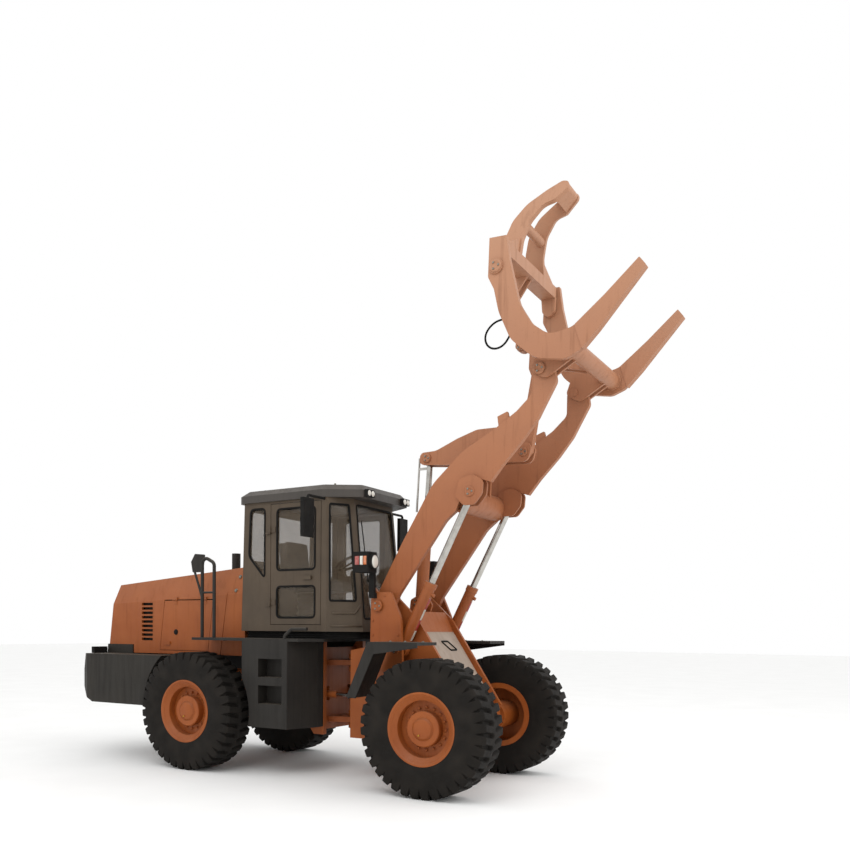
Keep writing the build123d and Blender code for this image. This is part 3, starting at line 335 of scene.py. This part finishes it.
NODE_MATERIALS = {  # material: starts of the names of the CAD nodes that carry it
    TYRE: ("tyre_",),
    ORANGE: ("rim_", "rear_axle", "front_axle", "rear_frame", "front_frame", "hood", "boom", "rocker",
             "tilt_link", "lift_barrels", "tilt_barrel", "clamp", "fork_", "steer_barrel"),
    CHROME: ("lift_rods", "tilt_rod", "clamp_rod", "steer_rod"),
    CHARCOAL: ("deck", "side_tanks", "front_fenders", "exhaust", "handrails", "rear_grille"),
    CAST: ("counterweight",),
    CAB_BROWN: ("cab_frame", "cab_door"),
    ROOF_BROWN: ("cab_roof",),
    PANE: ("cab_glass", "door_glass"),
    PLASTIC: ("headlamps", "mirrors", "console", "lamps"),
    ENGINE_GREY: ("engine_block",),
    CLOTH: ("seat",),
    SEAL: ("fork_hose",),
}
for material, starts in NODE_MATERIALS.items():
    for name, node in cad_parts.items():
        if name.startswith(starts):
            node.data.materials.clear()
            node.data.materials.append(material)


# Surfaces

def make(name, points, faces, material, body, smooth=True):
    """A mesh piece from points and faces, riding on a body."""
    mesh = bpy.data.meshes.new(name)
    mesh.from_pydata(np.asarray(points).tolist(), [], faces)
    mesh.polygons.foreach_set("use_smooth", np.full(len(mesh.polygons), smooth))
    mesh.materials.append(material)
    mesh.update()
    piece = bpy.data.objects.new(name, mesh)
    bpy.context.collection.objects.link(piece)
    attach(piece, body)
    return piece


def unit(vector):
    vector = np.array(vector, float)
    return vector / np.linalg.norm(vector)


def grid_faces(rows, cols, wrap_rows=False, wrap_cols=False):
    """Quads of a grid of rows by cols points, joined round where a direction closes on itself."""
    r = np.arange(rows if wrap_rows else rows - 1)
    c = np.arange(cols if wrap_cols else cols - 1)
    r, c = (a.ravel() for a in np.meshgrid(r, c, indexing="ij"))
    up, across = (r + 1) % rows, (c + 1) % cols
    return np.stack([r * cols + c, r * cols + across, up * cols + across, up * cols + c], 1)


def turned(profile, at, axis, segments):
    """Points of a profile (radius, distance along the axis) turned about an axis through a place."""
    axis = unit(axis)
    side = unit(np.cross(axis, (0.0, 0.0, 1.0) if abs(axis[2]) < 0.9 else (1.0, 0.0, 0.0)))
    third = np.cross(axis, side)
    angle = np.linspace(0, 2 * np.pi, segments, endpoint=False)[None, :, None]
    radius, along = np.array(profile, float).T[:, :, None, None]
    points = np.array(at, float) + along * axis + radius * (np.cos(angle) * side + np.sin(angle) * third)
    return points.reshape(-1, 3)


def lathe(name, profile, places, axis, material, body, segments=32, smooth=True):
    """One turned piece, its profile running from the middle outwards, repeated at every place as one mesh."""
    faces = grid_faces(len(profile), segments, wrap_cols=True)[:, ::-1]
    size = len(profile) * segments
    points = np.concatenate([turned(profile, at, axis, segments) for at in places])
    faces = np.concatenate([faces + i * size for i in range(len(places))])
    return make(name, points, faces.tolist(), material, body, smooth)


def swept(name, path, profile, material, body, closed=False, up=(0, 0, 1)):
    """A profile (across, out) carried along a path, with its out direction kept near up."""
    path = np.array(path, float)
    ahead = np.roll(path, -1, 0) - np.roll(path, 1, 0)
    if not closed:
        ahead[0], ahead[-1] = path[1] - path[0], path[-1] - path[-2]
    ahead /= np.linalg.norm(ahead, axis=1, keepdims=True)
    across = np.cross(np.broadcast_to(np.array(up, float), ahead.shape), ahead)
    across /= np.linalg.norm(across, axis=1, keepdims=True)
    out = np.cross(ahead, across)
    u, v = np.array(profile, float).T
    points = path[:, None, :] + u[None, :, None] * across[:, None, :] + v[None, :, None] * out[:, None, :]
    faces = grid_faces(len(path), len(u), wrap_rows=closed, wrap_cols=True).tolist()
    if not closed:
        last = (len(path) - 1) * len(u)
        faces += [list(range(len(u)))[::-1], list(range(last, last + len(u)))]
    return make(name, points.reshape(-1, 3), faces, material, body)


def pressed(name, corner, along, across, rise, edge, material, body, count=(24, 24), ripple=0):
    """A pressed plate on two edge vectors: a grid whose height climbs from its edge as a quarter sine over
    the edge's width and then stays level, or waves as a cosine with so many ripples across it."""
    along, across = np.array(along, float), np.array(across, float)
    length, width = np.linalg.norm(along), np.linalg.norm(across)
    u = np.linspace(0, 1, count[0])[:, None]
    v = np.linspace(0, 1, count[1])[None, :]
    inside = np.minimum(np.minimum(u, 1 - u) * length, np.minimum(v, 1 - v) * width)
    height = rise * np.sin(np.clip(inside / edge, 0, 1) * np.pi / 2)
    if ripple:
        height = height * (0.5 - 0.5 * np.cos(2 * np.pi * ripple * v))
    normal = unit(np.cross(along, across))
    flat = np.array(corner, float) + u[..., None] * along + v[..., None] * across
    points = flat + height[..., None] * normal
    return make(name, points.reshape(-1, 3), grid_faces(*count)[:, ::-1].tolist(), material, body)


def rounded_path(corners, radius, steps=6):
    """A closed outline (u, v) whose corners are replaced by curves that start at the radius from them."""
    corners = np.array(corners, float)
    back = np.roll(corners, 1, 0) - corners
    on = np.roll(corners, -1, 0) - corners
    start = corners + back / np.linalg.norm(back, axis=1, keepdims=True) * radius
    end = corners + on / np.linalg.norm(on, axis=1, keepdims=True) * radius
    t = np.linspace(0, 1, steps)[None, :, None]
    curve = (1 - t) ** 2 * start[:, None] + 2 * t * (1 - t) * corners[:, None] + t ** 2 * end[:, None]
    return curve.reshape(-1, 2)


def circle(radius, sides=10):
    angle = np.linspace(0, 2 * np.pi, sides, endpoint=False)
    return np.stack([radius * np.cos(angle), radius * np.sin(angle)], 1)


def ring_of(count, radius, centre, y):
    """Places on a circle about a Y axis, at a distance along it."""
    turn = np.arange(count) * 2 * np.pi / count
    return np.array(centre) + np.stack([radius * np.cos(turn), np.full(count, y), radius * np.sin(turn)], 1)


BOLT = [(0, 0.010), (0.008, 0.010), (0.011, 0.007), (0.0115, 0.002), (0.017, 0.002), (0.017, 0)]


# Wheels

def tyre_surface():
    """A tyre as sections turned about its axle. Each section runs between two profiles: the lugs' tops, and
    the floor of the grooves between them. A groove is a wedge that opens up the shoulder and crosses each
    half of the tread on a slant, half a pitch out of step with the other half. It stops at the middle
    rib."""
    t = np.linspace(0, 1, 14)
    wall_r = BEAD_R + (GROOVE_FOOT_R - BEAD_R) * t
    wall_y = BEAD_Y + 0.0365 * np.sin(np.pi / 2 * np.minimum(t / 0.75, 1))
    wall_y -= 0.056 * np.maximum(t - 0.75, 0) ** 2
    wall_y += 0.003 * np.exp(-((wall_r - 0.40) / 0.006) ** 2)
    s = np.linspace(0, 1, 11)[1:]
    tread_y = np.linspace(0.180, 0, 16)
    floor_top = TYRE_R - TREAD_DEPTH
    crest_rise = GROOVE_FOOT_R + (TYRE_R - GROOVE_FOOT_R) * np.sin(np.pi / 2 * s) ** 1.2
    crest_turn = SHOULDER_Y - (SHOULDER_Y - BEAD_Y) * (1 - np.cos(np.pi / 2 * s))
    floor_rise = GROOVE_FOOT_R + (floor_top - GROOVE_FOOT_R) * s
    crest_r = np.concatenate([wall_r, crest_rise, np.full(16, TYRE_R)])
    crest_y = np.concatenate([wall_y, crest_turn, tread_y])
    floor_r = np.concatenate([wall_r, floor_rise, np.full(16, floor_top)])
    floor_y = np.concatenate([wall_y, SHOULDER_Y - 0.0385 * s ** 0.7, tread_y * 0.97])
    rib = np.clip((tread_y - 0.018) / 0.012, 0, 1)
    reach = np.concatenate([np.zeros(14), s, rib])
    slant = 0.30 * (1 - np.minimum(crest_y, BEAD_Y) / BEAD_Y)
    turn = np.linspace(0, 2 * np.pi, LUGS * 20, endpoint=False)[:, None]
    halves = []
    for side, lag in ((1, 0.0), (-1, 0.5)):
        phase = (turn * LUGS / (2 * np.pi) + lag + slant) % 1 - 0.5
        groove = np.clip((0.19 * reach - np.abs(phase)) / 0.05 + 0.5, 0, 1) * (reach > 0.05)
        r = crest_r + (floor_r - crest_r) * groove
        y = side * (crest_y + (floor_y - crest_y) * groove)
        points = np.stack([r * np.sin(turn), y, -r * np.cos(turn)], -1)
        halves.append(points if side > 0 else points[:, -2::-1])
    points = np.concatenate(halves, 1)
    return points.reshape(-1, 3), grid_faces(len(turn), points.shape[1], wrap_rows=True)[:, ::-1].tolist()


def dress_wheels():
    """Detailed tyres, and on each rim its nuts, raised hub cover and filler plug."""
    nut = [(0, 0.022), (0.0095, 0.022), (0.0145, 0.018), (0.0150, 0.004), (0.020, 0.003), (0.020, 0)]
    cover = [(0, 0.016), (0.088, 0.016), (0.097, 0.011), (0.099, 0.004), (0.112, 0.003), (0.112, 0)]
    plug = [(0, 0.008), (0.008, 0.008), (0.011, 0.005), (0.011, 0)]
    points, faces = tyre_surface()
    for end, x in zip(("front", "rear"), AXLE_X):
        for name, side in SIDES:
            body = f"wheel_{end}_{name}"
            axis = (0, side, 0)
            centre = np.array((x, side * WHEEL_Y, TYRE_R))
            tyre = make(f"tread_tyre_{end}_{name}", points + centre, faces, TYRE, body)
            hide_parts(f"tyre_{end}_{name}")
            spots = ring_of(16, 0.205, centre, side * DISC_FACE)
            lathe(f"wheel_nuts_{end}_{name}", nut, spots, axis, ORANGE, body, 6, False)
            hub = centre + (0, side * HUB_FACE, 0)
            lathe(f"hub_cover_{end}_{name}", cover, [hub], axis, ORANGE, body, 48)
            at = centre + (-0.035, side * (HUB_FACE + 0.016), -0.062)
            lathe(f"hub_plug_{end}_{name}", plug, [at], axis, BRASS, body, 12)


dress_wheels()


# Pins and welds

PIN_ENDS = (  # name, (X, Z), outer face's Y, radius, body
    ("boom_pin", BOOM_PIN, 0.635, 0.060, "front_body"),
    ("lift_foot_pin", LIFT_FOOT, 0.635, 0.046, "front_body"),
    ("tilt_foot_pin", TILT_FOOT, 0.116, 0.044, "front_body"),
    ("lift_eye_pin", LIFT_EYE, 0.566, 0.052, "boom"),
    ("rocker_pin", ROCKER_PIN, 0.135, 0.058, "boom"),
    ("rocker_front_pin", ROCKER_FRONT, 0.078, 0.046, "rocker"),
    ("rocker_rear_pin", ROCKER_REAR, 0.088, 0.046, "rocker"),
    ("tip_pin", TIP_PIN, 0.577, 0.056, "fork"),
    ("link_pin", LINK_TOP, 0.092, 0.042, "fork"),
    ("clamp_pin", CLAMP_PIN, 0.778, 0.060, "fork"),
    ("clamp_foot_pin", CLAMP_FOOT, 0.084, 0.034, "fork"),
    ("clamp_eye_pin", CLAMP_EYE, 0.076, 0.036, "clamp"),
)


def dress_pins():
    """Each pin's chamfered end disc with three keeper bolts, on both sides."""
    bolt = [(0, 0.009), (0.008, 0.009), (0.0105, 0.007), (0.011, 0)]
    for name, (x, z), face, radius, body in PIN_ENDS:
        disc = [(0, 0.009), (radius * 0.55, 0.009), (radius * 0.6, 0.012), (radius * 0.9, 0.012),
                (radius, 0.007), (radius, 0)]
        for label, side in SIDES:
            axis = (0, side, 0)
            lathe(f"{name}_end_{label}", disc, [(x, side * face, z)], axis, ORANGE, body, 36)
            spots = ring_of(3, radius * 0.55, (x, 0, z), side * (face + 0.010))
            lathe(f"{name}_bolts_{label}", bolt, spots, axis, ZINC, body, 6, False)


dress_pins()

WELDS = (  # name, (X, Z), radius of the tube, Y of the plate's face, body
    ("cross_tube_weld", CROSS_TUBE, 0.130, 0.470, "boom"),
    ("main_tube_weld", MAIN_TUBE, 0.080, 0.700, "fork"),
    ("rear_tube_weld", REAR_TUBE, 0.062, 0.700, "fork"),
)


def dress_welds():
    """Fillet welds round the tubes: a ring whose bead swells and sinks as a sine, one ripple every 9 mm."""
    ring = np.linspace(0, 2 * np.pi, 10, endpoint=False)[None, :]
    for name, (x, z), radius, face, body in WELDS:
        steps = int(radius * 2 * math.pi / 0.003)
        turn = np.linspace(0, 2 * np.pi, steps, endpoint=False)[:, None]
        bead = 0.011 + 0.0012 * np.sin(turn * round(radius * 2 * math.pi / 0.009))
        for label, side in SIDES:
            r = radius + bead * np.cos(ring)
            y = side * (face - 0.001 + bead * np.sin(ring) * 0.9)
            points = np.stack([x + r * np.cos(turn), y, z + r * np.sin(turn)], -1).reshape(-1, 3)
            faces = grid_faces(steps, 10, True, True)
            make(f"{name}_{label}", points, (faces if side > 0 else faces[:, ::-1]).tolist(), ORANGE, body)


dress_welds()


# Front frame

def dress_front():
    """The worn plate between the tower's inner plates with its lifting slot, drawn as a dark ring of painted
    shade, tape on the lift cylinders, and the bolts of tower and fenders."""
    down = np.array((PLATE_FOOT[0] - PLATE_TOP[0], 0, PLATE_FOOT[1] - PLATE_TOP[1]))
    corner = np.array((PLATE_TOP[0], -0.375, PLATE_TOP[1])) + down * 0.02
    pressed("deck_plate", corner, down * 0.94, (0, 0.75, 0), 0.006, 0.010, PALE, "front_body", (60, 60))
    normal = unit(np.cross(down, (0, 1, 0)))
    middle = np.array((PLATE_TOP[0], 0.06, PLATE_TOP[1])) + down * 0.23 + normal * 0.007
    lozenge = rounded_path(((-0.055, -0.13), (0.055, -0.02), (0.055, 0.13), (-0.055, 0.02)), 0.02)
    path = middle + lozenge[:, :1] * unit(down) + lozenge[:, 1:] * np.array((0, 1, 0))
    # The slot is not cut: a dark rubber ring on the plate stands in for the shade inside the hole
    swept("deck_plate_slot_painted_shade", path, circle(0.010, 8), SEAL, "front_body", True, normal)
    along = unit((LIFT_EYE[0] - LIFT_FOOT[0], 0, LIFT_EYE[1] - LIFT_FOOT[1]))
    front = np.array((along[2], 0, -along[0]))
    tape = striped_tape("red_and_white_safety_tape", tuple(along), 120, "#8f1d18", "#b9b2a6")
    for label, side in SIDES:
        foot = np.array((LIFT_FOOT[0], side * LIFT_Y + 0.018, LIFT_FOOT[1]))
        corner = foot + along * 0.12 + front * (LIFT_R - 0.003)
        pressed(f"lift_tape_{label}", corner, along * 0.50, (0, -0.036, 0), 0.004, 0.004, tape,
                "lift_barrels", (30, 10))
        spots = [(x, side * TOWER_FACE, z) for x, z in ((0.66, 1.55), (0.66, 1.70), (0.96, 1.55), (0.80, 1.955))]
        lathe(f"tower_bolts_{label}", BOLT, spots, (0, side, 0), ORANGE, "front_body", 6, False)
        spots = [(x, side * 0.72, FENDER_TOP) for x in (0.93, 1.10, 1.30)]
        lathe(f"fender_bolts_{label}", BOLT, spots, (0, 0, 1), ZINC, "front_body", 6, False)


dress_front()


# Cab

def nose_at(z):
    """X and half-width of the cab's front wall at a height."""
    share = (z - CAB_Z[0]) / (CAB_Z[1] - CAB_Z[0])
    return [low + (high - low) * share for low, high in zip(NOSE_LOW, NOSE_HIGH)]


def corner_wall(share, z, side):
    """A point of the slanted front corner wall, by its share of the way from the door post to the nose."""
    x, y = nose_at(z)
    return (SHOULDER_X + (x - SHOULDER_X) * share, side * (CAB_HALF + (y - CAB_HALF) * share), z)


SEAL_SECTION = [(0.011, -0.004), (0.011, 0.004), (0.006, 0.008), (-0.006, 0.008), (-0.011, 0.004),
                (-0.011, -0.004)]
SIDE_PANES = (  # name, corners (X, Z), rides on the door
    ("door_upper", ((-0.530, 2.250), (-0.530, 2.920), (-0.020, 2.920), (-0.020, 2.250)), True),
    ("door_lower", ((-0.530, 1.730), (-0.530, 2.070), (-0.020, 2.070), (-0.020, 1.730)), True),
    ("rear_side", ((-0.900, 2.940), (-0.700, 2.940), (-0.700, 2.170), (-0.925, 2.420)), False),
)


def dress_windows():
    """Rubber seals pressed round every window opening."""
    for label, side in SIDES:
        for name, corners, on_door in SIDE_PANES:
            outline = rounded_path(corners, 0.05)
            path = np.stack([outline[:, 0], np.full(len(outline), side * CAB_HALF), outline[:, 1]], 1)
            body = f"cab_door_{label}" if on_door else "rear_body"
            swept(f"seal_{name}_{label}", path, SEAL_SECTION, SEAL, body, True, (0, side, 0))
        outline = rounded_path(((0.10, 1.91), (0.10, 2.94), (0.80, 2.94), (0.86, 1.91)), 0.04)
        path = [corner_wall(share, z, side) for share, z in outline]
        swept(f"seal_corner_{label}", path, SEAL_SECTION, SEAL, "rear_body", True, (0.62, side * 0.78, 0))
    outline = rounded_path(((-0.405, 1.72), (-0.375, 2.95), (0.375, 2.95), (0.405, 1.72)), 0.04)
    path = [(nose_at(z)[0], y, z) for y, z in outline]
    swept("seal_windscreen", path, SEAL_SECTION, SEAL, "rear_body", True, (1, 0, 0.1))


dress_windows()


def dress_cab():
    """Pressed ribs low on the corner walls, mirror faces, roof eyes, wiper and the rubber skirt under the
    cab, a wall round the cab's plan that waves in and out 4 times."""
    for label, side in SIDES:
        rib = circle(0.012, 12)
        rise = ((0.16, 1.775), (0.30, 1.775), (0.55, 1.775), (0.80, 1.776), (0.86, 1.800), (0.98, 1.868))
        upper = [corner_wall(share, z, side) for share, z in rise]
        swept(f"cab_rib_upper_{label}", upper, rib, CAB_BROWN, "rear_body", False, (0.62, side * 0.78, 0))
        lower = [corner_wall(s, 1.640, side) for s in (0.12, 0.5, 0.98)]
        swept(f"cab_rib_lower_{label}", lower, rib, CAB_BROWN, "rear_body", False, (0.62, side * 0.78, 0))
        foot = (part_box("mirrors")[0][0], side * 1.015 - 0.080, 2.575)
        pressed(f"mirror_face_{label}", foot, (0, 0, 0.370), (0, 0.160, 0), 0.003, 0.008, SILVER, "rear_body")
    eye = [(0, 0.034), (0.010, 0.031), (0.013, 0.024), (0.008, 0.016), (0.011, 0.010), (0.020, 0.006),
           (0.020, 0)]
    spots = [(x, y, ROOF_TOP) for x in (-0.85, 0.10) for y in (-0.50, 0.50)]
    lathe("roof_eyes", eye, spots, (0, 0, 1), ZINC, "rear_body", 16)
    pivot = np.array((nose_at(1.80)[0] + 0.02, -0.05, 1.80))
    tip = np.array((nose_at(2.45)[0] + 0.022, -0.30, 2.45))
    arm = [pivot, (pivot + tip) / 2 + (0.012, 0, 0), tip]
    swept("wiper_arm", arm, circle(0.008, 8), PLASTIC, "rear_body", False, (1, 0, 0))
    blade = [(nose_at(z)[0] + 0.014, y, z) for y, z in ((-0.28, 2.12), (-0.30, 2.45), (-0.32, 2.78))]
    swept("wiper_blade", blade, circle(0.007, 4), SEAL, "rear_body", False, (1, 0, 0))
    corners = ((-1.00, -0.67), (0.11, -0.67), (0.40, -0.43), (0.40, 0.43), (0.11, 0.67), (-1.00, 0.67))
    plan = rounded_path(corners, 0.05)
    level = np.linspace(0, 1, 33)[:, None]
    inset = 1 - 0.010 * (1 - np.cos(level * 4 * 2 * np.pi))
    height = DECK_TOP + (CAB_Z[0] - DECK_TOP) * level
    points = np.stack([plan[:, 0] * inset, plan[:, 1] * inset, height + 0 * plan[:, 0]], -1)
    faces = grid_faces(33, len(plan), wrap_cols=True).tolist()
    make("cab_skirt", points.reshape(-1, 3), faces, SEAL, "rear_body")


dress_cab()


# Hood

def hood_side(z):
    """Half-width of the hood's flank at a height: upright to the shoulder, then sloping in."""
    return HOOD_HALF - max(0.0, z - HOOD_SHOULDER) * 0.08 / 0.31


def dress_hood():
    """Knobs and latches on the flanks, and ribbed screens behind the side vents and the rear grille."""
    knob = [(0, 0.022), (0.014, 0.020), (0.019, 0.012), (0.017, 0.004), (0.026, 0.003), (0.026, 0)]
    latch = [(0, 0.012), (0.018, 0.012), (0.028, 0.008), (0.034, 0.002), (0.034, 0)]
    for label, side in SIDES:
        spots = [(x, side * (hood_side(z) - 0.007), z) for x, z in ((-1.172, 2.200), (-1.202, 2.041))]
        lathe(f"hood_knobs_{label}", knob, spots, (0, side, 0), ZINC, "rear_body", 20)
        lathe(f"hood_latch_{label}", latch, [(-2.138, side * HOOD_HALF, 1.556)], (0, side, 0), PLASTIC,
              f"hood_door_{label}", 24)
        corner = (-2.625 + side * 0.135, side * 0.545, 1.41)
        pressed(f"side_screen_{label}", corner, (-side * 0.27, 0, 0), (0, 0, 0.55), 0.012, 0.004, CAST,
                "rear_body", (12, 241), 30)
    pressed("radiator_screen", (-3.175, 0.45, 1.44), (0, -0.90, 0), (0, 0, 0.62), 0.014, 0.004, CAST,
            "rear_body", (12, 281), 35)


dress_hood()


# Lamps

def dress_lamps():
    """Domed lenses with dark rims on the headlamps and roof lamps, and coloured lenses at the corners."""
    turn = np.linspace(0, np.pi / 2, 8)

    def dome(radius, bulge):
        return [(radius * math.sin(a), bulge * math.cos(a)) for a in turn] + [(radius, -0.004)]

    rim = [(0.067, -0.004), (0.067, 0.008), (0.070, 0.013), (0.074, 0.010), (0.076, 0.0), (0.076, -0.012)]
    signals = ((RUBY, "red", 0.565, 0.052), (CLEAR, "clear", 0.625, 0.036), (AMBER, "amber", 0.667, 0.036))
    tails = ((RUBY, "red", 0.670), (AMBER, "amber", 0.780))
    for label, side in SIDES:
        head = (0.745, side * 0.740, 2.300)
        lathe(f"headlamp_lens_{label}", dome(0.070, 0.024), [head], (1, 0, 0), CLEAR, "front_body", 36)
        lathe(f"headlamp_rim_{label}", rim, [head], (1, 0, 0), PLASTIC, "front_body", 36)
        spots = [(0.490, side * 0.39 + dy, 3.057) for dy in (-0.036, 0.036)]
        lathe(f"roof_lamp_lens_{label}", dome(0.031, 0.012), spots, (1, 0, 0), CLEAR, "rear_body", 28)
        for lens_material, name, x, wide in signals:
            corner = (x if side < 0 else x + wide, side * 0.830, 2.265)
            pressed(f"signal_{name}_{label}", corner, (-side * wide, 0, 0), (0, 0, 0.090), 0.012, 0.012,
                    lens_material, "front_body", (16, 20))
        for lens_material, name, y in tails:
            corner = (-3.380, side * y + 0.045, 1.290)
            pressed(f"tail_{name}_{label}", corner, (0, -0.09, 0), (0, 0, 0.060), 0.010, 0.012,
                    lens_material, "rear_body", (16, 16))


dress_lamps()


# Seat

def cushion(name, centre, half_size, lean, crown, channels):
    """A stuffed pad: a sphere pushed out towards a box with round edges, whose faces swell as a cosine,
    whose sides pull in between the corners, and across which sewn channels sink."""
    u = np.linspace(-np.pi / 2, np.pi / 2, 61)[:, None]
    v = np.linspace(-np.pi, np.pi, 120, endpoint=False)[None, :]
    box = np.stack([np.cos(u) * np.cos(v), np.cos(u) * np.sin(v), np.sin(u) + 0 * v], -1)
    box = np.sign(box) * np.abs(box) ** 0.32
    box /= np.maximum(np.abs(box).max(-1, keepdims=True), 1e-9) ** 0.55
    swell = np.cos(box[..., 0] * 1.3) * np.cos(box[..., 1] * 1.3)
    seams = sum(np.exp(-((box[..., 0] - c) / 0.035) ** 2) for c in channels)
    box[..., 2] *= 1 + crown * swell - 0.12 * seams
    box[..., :2] *= (1 - 0.05 * np.cos(box[..., 2] * 1.4))[..., None]
    points = box * np.array(half_size)
    turn = np.radians(lean)
    x = points[..., 0] * np.cos(turn) - points[..., 2] * np.sin(turn)
    z = points[..., 0] * np.sin(turn) + points[..., 2] * np.cos(turn)
    points = np.stack([x, points[..., 1], z], -1).reshape(-1, 3) + np.array(centre)
    piece = make(name, points, grid_faces(61, 120, wrap_cols=True).tolist(), CLOTH, "rear_body")
    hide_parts("seat")


def dress_seat():
    """The seat's two cushions over a bellows: a rounded square tube whose wall waves in and out 5 times."""
    cushion("seat_cushion", (-0.450, 0, 2.085), (0.215, 0.235, 0.062), 3, 0.10, (-0.45, 0.1, 0.6))
    cushion("seat_back", (-0.790, 0, 2.350), (0.280, 0.230, 0.055), 96, 0.12, (-0.55, -0.1, 0.4))
    turn = np.linspace(0, 2 * np.pi, 64, endpoint=False)[None, :]
    height = np.linspace(0, 1, 41)[:, None]
    wave = 0.90 + 0.07 * np.cos(height * 5 * 2 * np.pi)
    x = -0.525 + 0.145 * wave * np.sign(np.cos(turn)) * np.abs(np.cos(turn)) ** 0.35
    y = 0.190 * wave * np.sign(np.sin(turn)) * np.abs(np.sin(turn)) ** 0.35
    points = np.stack([x, y, 1.622 + 0.400 * height + 0 * turn], -1).reshape(-1, 3)
    base = make("seat_bellows", points, grid_faces(41, 64, wrap_cols=True).tolist(), SEAL, "rear_body")
    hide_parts("seat")


dress_seat()


# Clamp hose

HOSE_Y = -0.640
HOSE_DIAMETER = 0.019
HOSE_ROUTE = ((2.145, 4.386), (2.109, 4.3148), (2.035, 4.265), (1.950, 4.272), (1.892, 4.332), (1.886, 4.415),
              (1.933, 4.484), (2.015, 4.530), (2.100, 4.530))


def lay_hose():
    """The clamp's free hose, on one smooth spline through its route's control points."""
    curve = bpy.data.curves.new("clamp_hose", "CURVE")
    curve.dimensions = "3D"
    spline = curve.splines.new("NURBS")
    spline.points.add(len(HOSE_ROUTE) - 1)
    for point, (x, z) in zip(spline.points, HOSE_ROUTE):
        point.co = (x, HOSE_Y, z, 1)
    spline.order_u = 3
    spline.use_endpoint_u = True
    curve.resolution_u = 8
    curve.bevel_depth = HOSE_DIAMETER / 2
    curve.bevel_resolution = 5
    curve.use_fill_caps = True
    curve.materials.append(SEAL)
    piece = bpy.data.objects.new("clamp_hose", curve)
    bpy.context.collection.objects.link(piece)
    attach(piece, "fork")
    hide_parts("fork_hose")


lay_hose()


# Floor and light

def light_studio():
    """A pale floor, a white sky and two large soft lamps, as on an overcast day."""
    bpy.context.scene.view_settings.view_transform = "Standard"
    mesh = bpy.data.meshes.new("floor")
    mesh.from_pydata([(-60, -60, 0), (60, -60, 0), (60, 60, 0), (-60, 60, 0)], [], [(0, 1, 2, 3)])
    floor_paint, tree, shader, coords = new_material("pale_studio_floor", Roughness=0.9,
                                                     Specular_IOR_Level=0.1)
    tone = remap(tree, noise(tree, coords, 900), 0.3, 0.7, 0, 1)
    tree.links.new(blend(tree, tone, "#f6f6f5", "#fafaf9"), shader.inputs["Base Color"])
    mesh.materials.append(floor_paint)
    floor = bpy.data.objects.new("floor", mesh)
    bpy.context.collection.objects.link(floor)
    world = bpy.data.worlds.new("white_sky")
    world.use_nodes = True
    sky = world.node_tree.nodes["Background"]
    sky.inputs["Color"].default_value = (1, 1, 1, 1)
    sky.inputs["Strength"].default_value = 1.0
    bpy.context.scene.world = world
    for name, at, aim, power, size in (
        ("key", (2.0, -9.0, 11.0), (0, 0, 2), 350, 7.0),
        ("fill", (10.0, 2.0, 8.0), (1, 0, 3), 250, 7.0),
    ):
        lamp = bpy.data.lights.new(name, "AREA")
        lamp.energy = power
        lamp.size = size
        holder = bpy.data.objects.new(name, lamp)
        holder.location = at
        holder.rotation_euler = (Vector(aim) - Vector(at)).to_track_quat("-Z", "Y").to_euler()
        bpy.context.collection.objects.link(holder)


light_studio()
